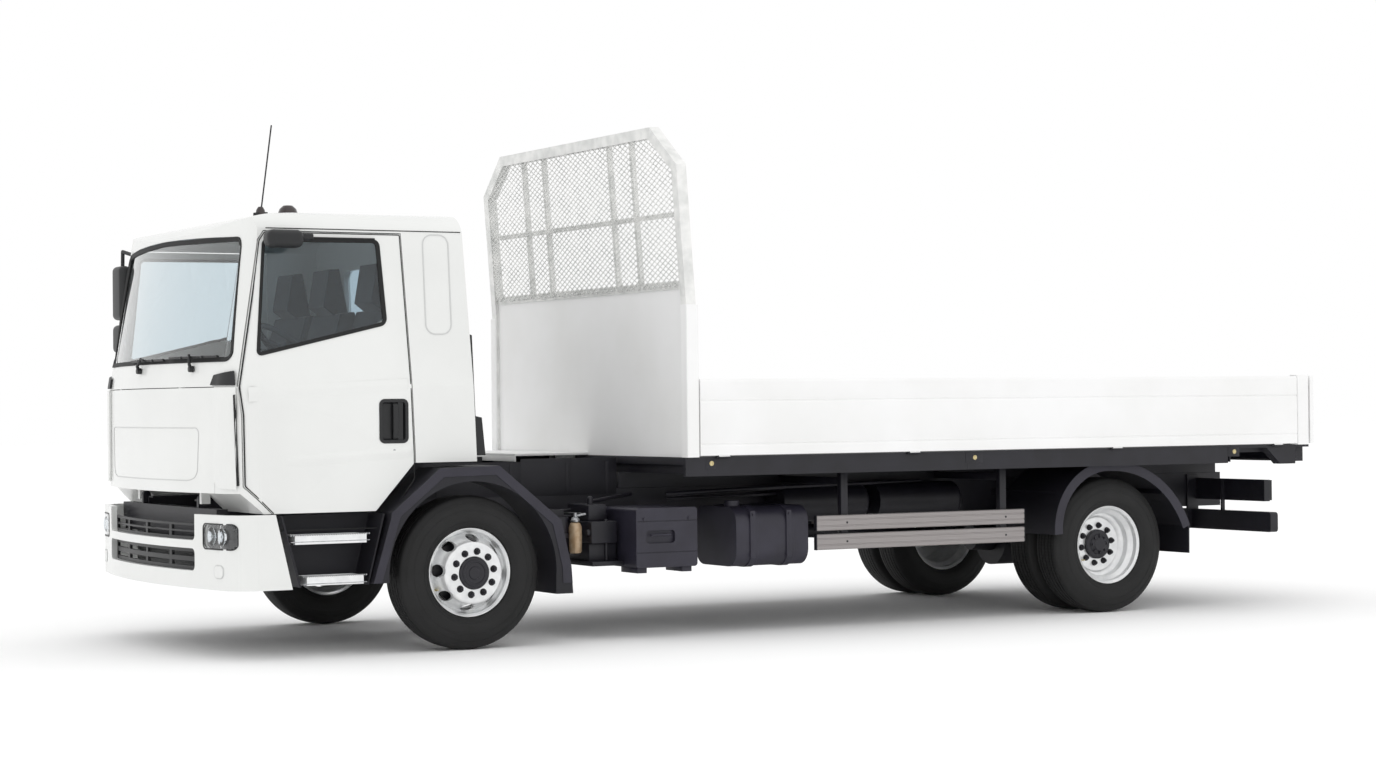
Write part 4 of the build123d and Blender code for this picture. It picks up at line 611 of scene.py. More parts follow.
softPanels = [
    # material, edge width, slot if not the material's own, nodes
    (enamel, 0.004, None, "cab_shell cab_roof front_panel corner_panels door_left door_right bumper"),
    (sheet, 0.002, None, "rear_posts side_board_left side_board_right tailboard"),
    (chassisEnamel, 0.002, None, "chassis_frame body_subframe rear_bars towing_jaw silencer air_tanks"
                                 " air_dryer front_axle rear_axle knuckle_left knuckle_right leaf_springs"),
    (litBoxEnamel, 0.003, None, "battery_box fuel_tank"),
    (guard, 0.004, None, "front_mudguards rear_mudguards step_housings"),
    (blackAbs, 0.003, None, "corner_trims bumper_grille intake_duct roof_fittings"),
    (dashSkin, 0.006, None, "dashboard steering_wheel"),
    (silver, 0.0015, "aluminium", "step_treads"),
    (guard, 0.0015, "aluminium", "catwalk"),
    (iron, 0.01, None, "engine_block"),
    (cloth, 0.03, None, "seats"),
]
for material, width, slot, members in softPanels:
    for node in members.split():
        softCopy(node, material, width)

glassNodes = {"windscreen": frontGlass, "rear_window": sideGlass, "door_glass_left": sideGlass,
              "door_glass_right": sideGlass, "headlamps": clearLens, "tail_lamps": redAcrylic}
for node, material in glassNodes.items():
    nodes[node].data.materials.clear()
    nodes[node].data.materials.append(material)

# the recesses behind the door grips are black
recess = {"x": (-0.4905, -0.3365), "z": (1.0915, 1.3125)}
for side, word, label in sides:
    door = bpy.data.objects["door_" + word + "Skin"]
    corners = [vert.co.copy() for vert in door.data.vertices]
    paintFaces(door, blackAbs, lambda face: all(
        recess["x"][0] < corners[i].x - frontAxle < recess["x"][1]
        and recess["z"][0] < corners[i].z < recess["z"][1] for i in face.vertices))
print("panels softened")


# Tyres: ribbed tread and ringed sidewalls

tyreShape = {
    "outerY": 1.116, "width": 0.236, "radius": 0.405, "twinGap": 0.026, "beadRadius": 0.222,
    "bulgeRadius": 0.304, "beadDepth": 0.03, "shoulderDepth": 0.02, "shoulderRun": 0.077, "crownDrop": 0.003,
    "crownRun": 0.068,
    # radius, width
    "sideRings": [(0.244, 0.004), (0.264, 0.0016), (0.3245, 0.0018), (0.3625, 0.0028)],
    "ringStep": 0.0004, "ringHeight": 0.0011,
    "plain": [0.2365, 0.2545, 0.274, 0.286, 0.3, 0.314, 0.335, 0.348, 0.354, 0.372, 0.381],
    # radius, depth behind the tyre's widest plane
    "bead": [(0.2225, 0.036), (0.233, 0.031)], "shoulder": [(0.39, 0.0245), (0.3965, 0.031), (0.4, 0.04)],
    "grooves": [0.0595, 0.0855, 0.118, 0.1505, 0.1765], "grooveWidth": 0.0075, "grooveDepth": 0.0125,
    "steps": 112,
}
twinOffset = tyreShape["width"] + tyreShape["twinGap"]


def sided(points, side, offset=0):
    # points of radius and depth as radius and distance along the axle
    return [(r, side * (tyreShape["outerY"] - depth - offset)) for r, depth in points]


def sidewallDepth(radius):
    bulge = tyreShape["bulgeRadius"]
    if radius < bulge:
        return tyreShape["beadDepth"] * ((bulge - radius) / (bulge - tyreShape["beadRadius"])) ** 2
    return tyreShape["shoulderDepth"] * ((radius - bulge) / tyreShape["shoulderRun"]) ** 2


def tyreProfile(shape):
    # from the outer bead over the tread to the inner bead
    marks = sorted([r - w / 2 for r, w in shape["sideRings"]] + [r + w / 2 for r, w in shape["sideRings"]])
    ringed = list(shape["bead"])
    for r in sorted(shape["plain"] + marks):
        depth = sidewallDepth(r)
        if r in marks:
            inwards = marks.index(r) % 2
            step = shape["ringStep"] if inwards else -shape["ringStep"]
            pair = [(r + step, depth - shape["ringHeight"]), (r + 2 * step, depth)]
            ringed += pair if inwards else pair[::-1]
        else:
            ringed.append((r, depth))
    ringed += shape["shoulder"]
    tread = []
    for centre in shape["grooves"]:
        for offset, drop in [(-0.5, 0), (-0.36, 1), (0.36, 1), (0.5, 0)]:
            depth = centre + offset * shape["grooveWidth"]
            run = (depth - shape["width"] / 2) / shape["crownRun"]
            crown = shape["radius"] - shape["crownDrop"] * run ** 2
            tread.append((crown - drop * shape["grooveDepth"], depth))
    return ringed + tread + [(r, shape["width"] - depth) for r, depth in reversed(ringed)]


def makeTyres(name, node, body, x, side, offsets):
    bm = bmesh.new()
    for offset in offsets:
        profile = sided(tyreProfile(tyreShape), side, offset)
        addLathe(bm, profile, (x, 0, axleHeight), steps=tyreShape["steps"], closed=True)
    addSolid(name, bm, body, treads[x], 40, [node])


for side, word, label in sides:
    makeTyres("frontTyre" + label, "tyre_front_" + word, "wheel_front_" + word, frontAxle, side, [0])
    makeTyres("rearTyres" + label, "tyres_rear_" + word, "wheels_rear_" + word, rearAxle, side,
              [0, twinOffset])
print("tyres made")


# Wheels: rim, disc with hand holes, nuts and hub


wheelShape = {
    "steps": 96, "hubSteps": 64, "nutCircle": 0.1135, "nuts": 10, "nutRadius": 0.015, "nutHeight": 0.021,
    "holes": 8, "holeRadius": 0.1815, "holeLong": 0.033, "holeShort": 0.0205, "holeTurn": -0.11,
    "frontFace": -0.03, "rearFace": 0.142, "hubBolts": 8, "hubBoltCircle": 0.052, "hubBoltDepth": 0.11,
    "valveAngle": 205,
    # outlines: radius, depth behind the tyre's widest plane
    "rimLip": [(0.2335, 0.0245), (0.2325, 0.0215), (0.23, 0.02), (0.227, 0.0212), (0.2235, 0.025),
               (0.2165, 0.03), (0.2148, 0.035), (0.2148, 0.058), (0.21, 0.064), (0.1935, 0.0745),
               (0.189, 0.081)],
    "rimBack": [(0.2214, 0.205), (0.2214, 0.178), (0.196, 0.158), (0.196, 0.078), (0.2214, 0.058),
                (0.2214, 0.031)],
    "frontDisc": [(0.2035, 0.069), (0.196, 0.056), (0.166, -0.018), (0.161, -0.0255), (0.154, -0.0296),
                  (0.148, -0.03), (0.087, -0.03), (0.087, -0.018), (0.147, -0.018), (0.155, -0.01),
                  (0.186, 0.062), (0.193, 0.079)],
    "rearDisc": [(0.1902, 0.119), (0.185, 0.1225), (0.178, 0.123), (0.17, 0.1265), (0.16, 0.1395),
                 (0.152, 0.142), (0.0885, 0.142), (0.0885, 0.154), (0.152, 0.154), (0.172, 0.14),
                 (0.1902, 0.137)],
    "twinDisc": [(0.11, 0.166), (0.134, 0.176), (0.168, 0.208), (0.1902, 0.386), (0.1902, 0.37),
                 (0.176, 0.198), (0.146, 0.166), (0.11, 0.1545)],
    "frontHub": [(0, -0.045), (0.032, -0.044), (0.0345, -0.04), (0.056, -0.039), (0.058, -0.042),
                 (0.068, -0.0415), (0.07, -0.0385), (0.082, -0.037), (0.0855, -0.033), (0.0865, -0.018),
                 (0.06, -0.016), (0, -0.016)],
    "rearHub": [(0, 0.099), (0.038, 0.1), (0.044, 0.106), (0.06, 0.112), (0.064, 0.118), (0.083, 0.121),
                (0.0878, 0.126), (0.0878, 0.156), (0.06, 0.16), (0, 0.16)],
    "frontDrum": [(0.06, -0.015), (0.12, -0.015), (0.124, 0.098), (0.172, 0.112), (0.172, 0.186),
                  (0.158, 0.186), (0.15, 0.126), (0.06, 0.11)],
}
farLip = [(r, tyreShape["width"] - depth) for r, depth in reversed(wheelShape["rimLip"])]
wheelShape["rim"] = wheelShape["rimLip"] + farLip + wheelShape["rimBack"]


def circlePoints(x, y, radius, count, turn=0):
    for index in range(count):
        angle = 2 * pi * (index + turn) / count
        yield Vector((x + radius * cos(angle), y, axleHeight + radius * sin(angle)))


def cutHandHoles(disc, x, side, shape):
    cutter = bmesh.new()
    for index in range(shape["holes"]):
        angle = 2 * pi * (index + shape["holeTurn"]) / shape["holes"]
        made = bmesh.ops.create_cone(cutter, cap_ends=True, segments=28, radius1=1, radius2=1,
                                     depth=0.5)["verts"]
        bmesh.ops.scale(cutter, vec=(shape["holeShort"], shape["holeLong"], 1), verts=made)
        bmesh.ops.translate(cutter, vec=(shape["holeRadius"], 0, 0), verts=made)
        place = (Matrix.Translation((x, side * 1.1, axleHeight)) @ Matrix.Rotation(-angle, 4, "Y")
                 @ Matrix.Rotation(radians(90), 4, "X"))
        bmesh.ops.transform(cutter, matrix=place, verts=made)
    cutAway(disc, cutter)
    soften(disc, 0.0012, 2, 50)


def addNuts(bm, x, side, face, shape):
    radius, height = shape["nutRadius"], shape["nutHeight"]
    seatY = side * (tyreShape["outerY"] - face - 0.002)
    for seat in circlePoints(x, seatY, shape["nutCircle"], shape["nuts"], 0.25):
        # washer, flats, chamfer and stud
        addStud(bm, seat, side, 0, 0.006, 0.0195, 0.018, 18)
        addStud(bm, seat, side, 0, height - 0.004, radius, None, 6)
        addStud(bm, seat, side, height - 0.004, height, radius, radius * 0.82, 6)
        addStud(bm, seat, side, 0, height + 0.007, 0.0085, 0.0075, 12)


def makeWheel(kind, label, node, x, side, shape):
    front = kind == "front"

    def lathe(bm, outline, offset=0, steps=shape["steps"], closed=True):
        addLathe(bm, sided(shape[outline], side, offset), (x, 0, axleHeight), steps=steps, closed=closed)

    bm = bmesh.new()
    lathe(bm, kind + "Disc")
    disc = addSolid(kind + "Disc" + label, bm, node, silver, None, [node])
    if front:
        cutHandHoles(disc, x, side, shape)
    smooth(disc, 32)

    bm = bmesh.new()
    lathe(bm, "rim")
    if not front:
        lathe(bm, "rim", twinOffset)
        lathe(bm, "twinDisc")
    addSolid(("frontRim" if front else "rearRims") + label, bm, node, silver, 32)

    bm = bmesh.new()
    lathe(bm, kind + "Hub", 0, shape["hubSteps"], False)
    if front:
        lathe(bm, "frontDrum", 0, shape["hubSteps"])
    else:
        boltY = side * (tyreShape["outerY"] - shape["hubBoltDepth"])
        for spot in circlePoints(x, boltY, shape["hubBoltCircle"], shape["hubBolts"]):
            addStud(bm, spot, side, 0, 0.01, 0.007, None, 6)
    addSolid(kind + "Hub" + label, bm, node, hubPaint)

    bm = bmesh.new()
    addNuts(bm, x, side, shape[kind + "Face"], shape)
    addSolid(kind + "Nuts" + label, bm, node, darkNut)

    bm = bmesh.new()
    angle = radians(shape["valveAngle"])
    out = Vector((cos(angle), 0, sin(angle)))
    foot = Vector((x, side * (tyreShape["outerY"] - 0.066), axleHeight)) + out * 0.2085
    tip = Vector((x, side * (tyreShape["outerY"] - 0.022), axleHeight)) + out * 0.201
    addRod(bm, foot, foot.lerp(tip, 0.6), 0.005, 0.0042, 12)
    addRod(bm, foot.lerp(tip, 0.6), tip, 0.0036, None, 12)
    addSolid(kind + "Valve" + label, bm, node, brass)


for side, word, label in sides:
    makeWheel("front", label, "wheel_front_" + word, frontAxle, side, wheelShape)
    makeWheel("rear", label, "wheels_rear_" + word, rearAxle, side, wheelShape)
print("wheels made")


# Load floor: coated plywood on the deck, chassis enamel on its edge rails

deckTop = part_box("load_floor")[1].z
floorPiece = softCopy("load_floor", chassisEnamel, 0.0015)
paintFaces(floorPiece, plywood, lambda face: face.normal.z > 0.9 and face.center.z > deckTop - 0.001)


# Headboard: painted sheet below, galvanised screen frame above, with its woven wires and foot plate

headboardShape = {
    "screenFoot": 1.84, "lean": 4, "outerY": 1.235, "topY": 0.96, "cutZ": 2.575, "topZ": 2.8, "railZ": 1.925,
    "originZ": 1.8, "originX": 1.2645, "behindBars": 0.022, "inset": 0.036, "sink": 0.01, "pitchY": 0.062,
    "pitchZ": 0.0315, "strand": 0.003, "reach": 1.4, "halfWire": 1.6,
    "footPlate": [((0.78, -0.02, 0.986), (1.246, 1.15, 1), 0.002),
                  ((0.78, -0.02, 0.955), (0.786, 1.15, 0.988), 0.001)],
    "ribs": (0.1, 0.6, 1.05),
}
frontBoard = softCopy("headboard", sheet, 0.003)
paintFaces(frontBoard, galvanised, lambda face: face.center.z > headboardShape["screenFoot"])


def makeScreen(shape):
    # two families of straight wires laid across each other, cut to the leaning frame
    bm = bmesh.new()
    middleZ = (shape["railZ"] + shape["topZ"]) / 2 - shape["originZ"]
    count = int(shape["reach"] / shape["pitchZ"] * 1.1)
    for family in (-1, 1):
        half = Vector((0, shape["pitchY"], family * shape["pitchZ"])).normalized() * shape["halfWire"]
        for index in range(-count, count + 1):
            centre = Vector((family * shape["strand"] * 0.9, 0, middleZ + index * shape["pitchZ"]))
            addRod(bm, centre - half, centre + half, shape["strand"], None, 6)
    lowZ = shape["railZ"] - shape["originZ"] - shape["sink"]
    topZ = shape["topZ"] - shape["originZ"] - shape["inset"]
    cuts = [((0, 0, lowZ), (0, 0, -1)), ((0, 0, topZ), (0, 0, 1))]
    for side in (-1, 1):
        corner = Vector((0, side * (shape["outerY"] - shape["inset"]), shape["cutZ"] - shape["originZ"]))
        along = (Vector((0, side * shape["topY"], topZ)) - corner).normalized()
        cuts.append(((0, corner.y, 0), (0, side, 0)))
        cuts.append((corner, Vector((0, along.z, -along.y)) * side))
    for place, normal in cuts:
        cut = bmesh.ops.bisect_plane(bm, geom=list(bm.verts) + list(bm.edges) + list(bm.faces),
                                     plane_co=place, plane_no=normal, clear_outer=True)["geom_cut"]
        openEdges = [part for part in cut if isinstance(part, bmesh.types.BMEdge)]
        bmesh.ops.holes_fill(bm, edges=openEdges, sides=0)
    lean = Matrix.Rotation(radians(-shape["lean"]), 4, "Y")
    behind = Matrix.Translation((-shape["behindBars"], 0, 0))
    place = Matrix.Translation(at(shape["originX"], 0, shape["originZ"])) @ lean @ behind
    bmesh.ops.transform(bm, matrix=place, verts=bm.verts)
    addSolid("headboardScreen", bm, "chassis", galvanised, 40, ["screen_mesh"])


makeScreen(headboardShape)

bm = bmesh.new()
addBoxes(bm, headboardShape["footPlate"])
addBoxes(bm, [((1.1, y, 0.945), (1.25, y + 0.006, 0.988), 0) for y in headboardShape["ribs"]])
addPiece("headboardFootPlate", bm, "chassis", sheet, 35)


# Side guards: grooved aluminium rails on dark uprights

guardShape = {
    "outerY": 1.125, "backY": 1.099, "rows": [(0.447, 0.535), (0.554, 0.64)], "groove": 0.0022,
    "frameY": 0.4253, "frameZ": (0.81, 0.85), "topZ": 0.884, "uprightWidth": 0.046, "uprightDepth": 0.04,
    "sides": [
        # side, front x, rear x, upright places
        (-1, 2.118, 3.56, (2.3, 3.4)),
        (1, 1.8, 3.56, (2, 2.7, 3.4)),
    ],
}


def railSection(outer, back, groove, low, high):
    quarter = (high - low) / 4
    first, second = low + quarter, high - quarter
    return [(back, low + 0.003), (back + 0.003, low), (outer - 0.004, low), (outer, low + 0.004),
            (outer, first), (outer - groove, first + 0.002), (outer - groove, first + 0.007),
            (outer, first + 0.009),
            (outer, second - 0.009), (outer - groove, second - 0.007), (outer - groove, second - 0.002),
            (outer, second), (outer, high - 0.004), (outer - 0.004, high), (back + 0.003, high),
            (back, high - 0.003)]


def makeGuards(shape):
    rails = bmesh.new()
    uprights = bmesh.new()
    outer, back = shape["outerY"], shape["backY"]
    frameLow, frameHigh = shape["frameZ"]
    for side, frontX, rearX, places in shape["sides"]:
        for low, high in shape["rows"]:
            section = railSection(outer, back, shape["groove"], low, high)
            addPlate(rails, [at(frontX, side * y, z) for y, z in section], (rearX - frontX, 0, 0))
            for x in (frontX + 0.002, rearX - 0.002):
                # end cap
                addBox(uprights, at(x - 0.003, side * (outer + 0.0005), low - 0.0005),
                       at(x + 0.003, side * (back - 0.0005), high + 0.0005), 0.0008)
        for x in places:
            endX, innerY = x + shape["uprightWidth"], side * (back - shape["uprightDepth"])
            addBox(uprights, at(x, side * (back - 0.0003), shape["rows"][0][0] + 0.004),
                   at(endX, innerY, shape["topZ"]), 0.003)
            addBox(uprights, at(x, innerY, frameLow), at(endX, side * shape["frameY"], frameHigh), 0.003)
            for low, high in shape["rows"]:
                spot = at(x + shape["uprightWidth"] / 2, side * outer, (low + high) / 2)
                addStud(uprights, spot, side, -0.004, 0.0012, 0.0075, 0.006, 14)
    addSolid("guardRails", rails, "chassis", aluminium, 25, ["side_guards"])
    addSolid("guardUprights", uprights, "chassis", chassisEnamel, 30)


makeGuards(guardShape)


# Dark sheets beside the rails, as painted shade: they close the view through the chassis below the cab

shadeSheetShape = {"y": (0.4255, 0.4275, 0.4295), "ribs": (-0.8, -0.35, 0.1, 0.55, 0.9, 1.15), "ribWidth": 0.03}
bm = bmesh.new()
for side in (-1, 1):
    innerY, faceY, ribY = (side * y for y in shadeSheetShape["y"])
    addBoxes(bm, [((-0.95, innerY, 0.77), (0.62, faceY, 0.962), 0.0008),
                  ((0.62, innerY, 0.77), (1.22, faceY, 0.978), 0.0008)])
    addBoxes(bm, [((x, faceY, 0.775), (x + shadeSheetShape["ribWidth"], ribY, 0.955), 0.0008)
                  for x in shadeSheetShape["ribs"]])
addSolid("chassisShadeSheets", bm, "chassis", guard, 30)
print("load body dressed")


# Window rubbers, door grip bowls and the lines pressed into the doors

doorShape = {
    "window": [(-1.0965, 2.1358), (-0.4673, 2.14), (-0.4391, 1.7044), (-1.1497, 1.5377)],
    "rubberWidth": 0.02, "rubberLift": 0.0035, "rubberSink": 0.006, "windowGrow": 0.004,
    "windowRadius": 0.036, "skinY": 1.075, "gripX": (-0.489, -0.338), "gripZ": (1.093, 1.311),
    "gripGrow": 0.006, "gripRadius": 0.03, "bezel": 0.017, "bowlDepth": 0.019, "proud": 0.0025,
    "barShift": 0.012, "lockX": -0.412,
    "barSection": [(-0.017, -0.004), (-0.012, 0.0035), (0.012, 0.0035), (0.017, -0.004), (0.01, -0.009),
                   (-0.01, -0.009)],
    "creases": [
        # start x, start z, end x, end z, lift
        (-1.2, 1.352, -0.335, 1.392, 0.003),
        (-1.01, 1.004, -0.318, 1.048, 0.0042),
    ],
    # share of the length, share of the height
    "creaseFade": [(0, 0.05), (0.12, 0.8), (0.3, 1), (0.97, 1), (1, 0.9)],
}
cabSurface = surfaceOf("cab_shell", "door_left", "door_right", "door_glass_left", "door_glass_right",
                       "windscreen", "front_panel", "cab_roof", "rear_window")


def makeWindowRubber(name, body, side, shape):
    window, grow = shape["window"], shape["windowGrow"]
    middleX = sum(x for x, z in window) / 4
    middleZ = sum(z for x, z in window) / 4
    outline = [(x + (grow if x > middleX else -grow), z + (grow if z > middleZ else -grow))
               for x, z in window]
    bm = bmesh.new()
    addTrimRing(bm, sidePoints(side, outline), shape["windowRadius"], shape["rubberWidth"], cabSurface,
                (0, -side, 0), shape["rubberLift"], shape["rubberSink"])
    addBox(bm, at(-1.085, side * 1.028, 2.14), at(-0.49, side * 1.021, 2.148), 0.001)
    soften(addPiece(name, bm, body, rubber), 0.0012)


def makeGrip(label, body, side, shape):
    (x0, x1), (z0, z1) = shape["gripX"], shape["gripZ"]
    grow, skinY = shape["gripGrow"], shape["skinY"]
    bm = bmesh.new()
    outline = [at(x, side * skinY, z) for x, z in rectangle(x0 - grow, x1 + grow, z0 - grow, z1 + grow)]
    ring = roundedFace(bm, outline, shape["gripRadius"], 1)
    bmesh.ops.inset_region(bm, faces=[ring], thickness=shape["bezel"], use_even_offset=True,
                           use_boundary=True)
    bowl = largest(bm.faces)
    bowlVerts = extruded(bm, [bowl], (0, -side * shape["bowlDepth"], 0))
    bmesh.ops.delete(bm, geom=[bowl], context="FACES_ONLY")
    bmesh.ops.scale(bm, vec=(0.88, 1, 0.92), verts=bowlVerts,
                    space=Matrix.Translation(-at((x0 + x1) / 2, 0, (z0 + z1) / 2)))
    rimVerts = [vert for vert in bm.verts if vert not in bowlVerts]
    bmesh.ops.translate(bm, vec=(0, side * shape["proud"], 0), verts=rimVerts)
    faceOutwards(bm, side)
    piece = addPiece("gripBowl" + label, bm, body, blackAbs)
    wall = piece.modifiers.new("wall", "SOLIDIFY")
    wall.thickness = 0.0015
    wall.offset = -1
    soften(piece, 0.0025, 3)

    bm = bmesh.new()
    centre = (x0 + x1) / 2 + shape["barShift"]
    rows = [(z0 + 0.012, 0.012), (z0 + 0.03, 0.002), (z0 + 0.06, -0.002), (z1 - 0.06, -0.002),
            (z1 - 0.03, 0.002), (z1 - 0.012, 0.012)]
    addLoft(bm, [[at(centre + a, side * (skinY - sink + b), z) for a, b in shape["barSection"]]
                 for z, sink in rows], True)
    bmesh.ops.holes_fill(bm, edges=bm.edges, sides=0)
    finishNormals(bm)
    soften(addPiece("gripBar" + label, bm, body, blackAbs), 0.0025, 3, 30)

    bm = bmesh.new()
    spot = at(shape["lockX"], side * skinY, z0 - 0.045)
    addStud(bm, spot, side, -0.003, 0.0025, 0.0105, 0.0095, 24)
    addStud(bm, spot, side, 0, 0.0032, 0.007)
    addSolid("doorLock" + label, bm, body, zinc, 30)


def makeCreases(name, body, side, shape):
    bm = bmesh.new()
    for startX, startZ, endX, endZ, lift in shape["creases"]:
        section = [(-0.03, -0.001), (-0.016, lift * 0.35), (-0.005, lift * 0.9), (0, lift),
                   (0.006, lift * 0.9), (0.02, lift * 0.45), (0.044, -0.001)]
        start, end = at(startX, side * shape["skinY"], startZ), at(endX, side * shape["skinY"], endZ)
        along = (end - start).normalized()
        upwards = Vector((-along.z, 0, along.x))
        outwards = Vector((0, side, 0))
        addLoft(bm, [[start.lerp(end, share) - upwards * a + outwards * (b * height if b > 0 else b)
                      for a, b in section] for share, height in shape["creaseFade"]])
    bmesh.ops.remove_doubles(bm, verts=bm.verts, dist=0.00001)
    faceOutwards(bm, side)
    addPiece(name, bm, body, enamel, 60)


for side, word, label in sides:
    body = "door_" + word
    makeWindowRubber("windowRubber" + label, body, side, doorShape)
    makeGrip(label, body, side, doorShape)
    makeCreases("doorCreases" + label, body, side, doorShape)
print("doors dressed")


# Windscreen rubber, and the pressed lip of the front plate drawn as a thin grey line of painted shade

frontShape = {
    "windscreen": [(-0.925, 2.15), (0, 2.17), (0.925, 2.15), (0.992, 1.513), (-0.992, 1.513)],
    "plate": [(-0.72, 1.18), (0.72, 1.18), (0.7, 0.93), (0.62, 0.905), (-0.62, 0.905), (-0.7, 0.93)],
}
bm = bmesh.new()
addTrimRing(bm, frontPoints(frontShape["windscreen"]), 0.055, 0.024, cabSurface, backwards, 0.004, 0.01)
soften(addPiece("windscreenRubber", bm, "cab", rubber), 0.0015)

bm = bmesh.new()
addTrimRing(bm, frontPoints(frontShape["plate"]), 0.04, 0.0045, cabSurface, backwards, 0.0016)
soften(addPiece("frontPlateLipShade", bm, bodyOf["front_panel"], louvreGreyAndLineShade), 0.0007)
print("front dressed")


# Front details: painted opening walls, headlamp reflectors and rims, fog lamp covers with grey rims of painted
# shade, dark radiator screen

frontDetail = {
    "lampY": (0.8, 1.072), "lampZ": (0.568, 0.69), "reflectors": [(0.872, 0.047), (0.975, 0.044)],
    # share of the radius, depth behind the lens
    "bowl": [(1, 0.004), (0.96, 0.004), (0.7, 0.011), (0.35, 0.0155), (0, 0.017), (0, 0.0185), (1, 0.0185)],
    "lowOpening": (0.447, 0.563), "openingHalf": 0.706,
    "fogY": 0.95, "fogZ": 0.452, "fogHalfY": 0.044, "fogHalfZ": 0.03, "fogRim": 0.005,
    "screen": ((-1.236, -0.64, 0.44), (-1.23, 0.64, 0.735), 0.001),
}
bumperSurface = surfaceOf("bumper")
lampSurface = surfaceOf("headlamps")


def fogOutline(side, shape, grow):
    halfY, halfZ = shape["fogHalfY"] + grow, shape["fogHalfZ"] + grow
    return frontPoints(rectangle(side * (shape["fogY"] - halfY), side * (shape["fogY"] + halfY),
                                 shape["fogZ"] - halfZ, shape["fogZ"] + halfZ))


def makeFrontDetails(shape):
    bumper = bpy.data.objects["bumperSkin"]
    corners = [vert.co.copy() for vert in bumper.data.vertices]
    lowZ, highZ = shape["lowOpening"]
    paintFaces(bumper, louvreGreyAndLineShade, lambda face: all(
        abs(corners[i].y) < shape["openingHalf"] and lowZ < corners[i].z < highZ for i in face.vertices))
    rims, bowls, bulbs, covers, coverRimShades = (bmesh.new() for _ in range(5))
    (y0, y1), (z0, z1) = shape["lampY"], shape["lampZ"]
    for side in (-1, 1):
        outline = rectangle(side * (y0 - 0.006), side * (y1 + 0.004), z0 - 0.006, z1 + 0.006)
        addTrimRing(rims, frontPoints(outline), 0.03, 0.007, bumperSurface, backwards, 0.002, 0.004)
        for y, radius in shape["reflectors"]:
            z = (z0 + z1) / 2
            hit = lampSurface.ray_cast(at(-3, side * y, z), Vector(backwards))[0]
            centre = Vector((hit.x, side * y, z))
            bowl = [(radius * share, depth) for share, depth in shape["bowl"]]
            addLathe(bowls, bowl, centre, "X", 40, True)
            addRod(bulbs, centre + Vector((0.0165, 0, 0)), centre + Vector((0.006, 0, 0)), 0.009, 0.007, 16)
        fog, rim = (fogOutline(side, shape, grow) for grow in (0, shape["fogRim"]))
        addTrimPlate(covers, fog, 0.024, bumperSurface, backwards, 0.003, 0.002, 0.03)
        # a grey ring round each cover: painted shade of its edge
        addTrimRing(coverRimShades, rim, 0.029, 0.004, bumperSurface, backwards, 0.0012, 0.002)
    body = bodyOf["bumper"]
    addPiece("headlampRims", rims, body, blackAbs, 35)
    addSolid("headlampReflectors", bowls, body, silvered)
    addSolid("headlampBulbs", bulbs, body, clearLens)
    soften(addPiece("fogCovers", covers, body, enamel), 0.001)
    addPiece("fogCoverRimShades", coverRimShades, body, louvreGreyAndLineShade, 35)
    bm = bmesh.new()
    addBoxes(bm, [shape["screen"]])
    addPiece("radiatorScreen", bm, body, blackAbs, 35)


makeFrontDetails(frontDetail)

# a grey line round the pressed rib behind each door: painted shade of its edge
quarterRibShade = rectangle(-0.222, -0.071, 1.65, 2.176)
bm = bmesh.new()
for side in (-1, 1):
    addTrimRing(bm, sidePoints(side, quarterRibShade), 0.055, 0.006, cabSurface, (0, -side, 0), 0.0022)
addPiece("quarterRibShades", bm, "cab", louvreGreyAndLineShade, 35)


# Roof: a marker dome and a smaller one behind the aerial's foot

roofShape = {
    # x, y, radius, height
    "places": [(-0.7, -0.33, 0.056, 0.074), (-0.88, -0.4, 0.028, 0.066)],
    # share of the radius, share of the height
    "dome": [(0, 1), (0.45, 0.96), (0.8, 0.72), (1, 0.3), (1.06, 0)],
    "sink": 0.004,
}
bm = bmesh.new()
for x, y, radius, height in roofShape["places"]:
    hit = cabSurface.ray_cast(at(x, y, 4), Vector((0, 0, -1)))[0]
    dome = [(radius * a, height * b) for a, b in roofShape["dome"]]
    addLathe(bm, dome + [(radius * 1.06, -roofShape["sink"]), (0, -roofShape["sink"])], hit, "Z", 40)
addSolid("roofDomes", bm, "cab", roofPlastic)


# Mudguards: a lighter flanged band round each arch

guardBand = {
    "outerY": 1.15, "thickness": 0.004, "rearWidth": 0.058, "arcSteps": 16,
    "frontOuter": [(-0.566, 0.372), (-0.467, 0.7), (-0.462, 0.732), (-0.19, 0.955), (0.15, 0.962),
                   (0.508, 0.668), (0.566, 0.42), (0.572, 0.33)],
    "frontInner": [(-0.52, 0.372), (-0.42, 0.69), (-0.412, 0.712), (-0.168, 0.908), (0.13, 0.914),
                   (0.458, 0.645), (0.512, 0.42), (0.516, 0.33)],
    "rearArcs": [(-0.442, 0.48), (-0.33, 0.785), (0, 0.906), (0.395, 0.762), (0.578, 0.508)],
}


def circleThrough(a, b, c):
    (ax, ay), (bx, by), (cx, cy) = a, b, c
    d = 2 * (ax * (by - cy) + bx * (cy - ay) + cx * (ay - by))
    aa, bb, cc = ax * ax + ay * ay, bx * bx + by * by, cx * cx + cy * cy
    return Vector(((aa * (by - cy) + bb * (cy - ay) + cc * (ay - by)) / d,
                   (aa * (cx - bx) + bb * (ax - cx) + cc * (bx - ax)) / d))


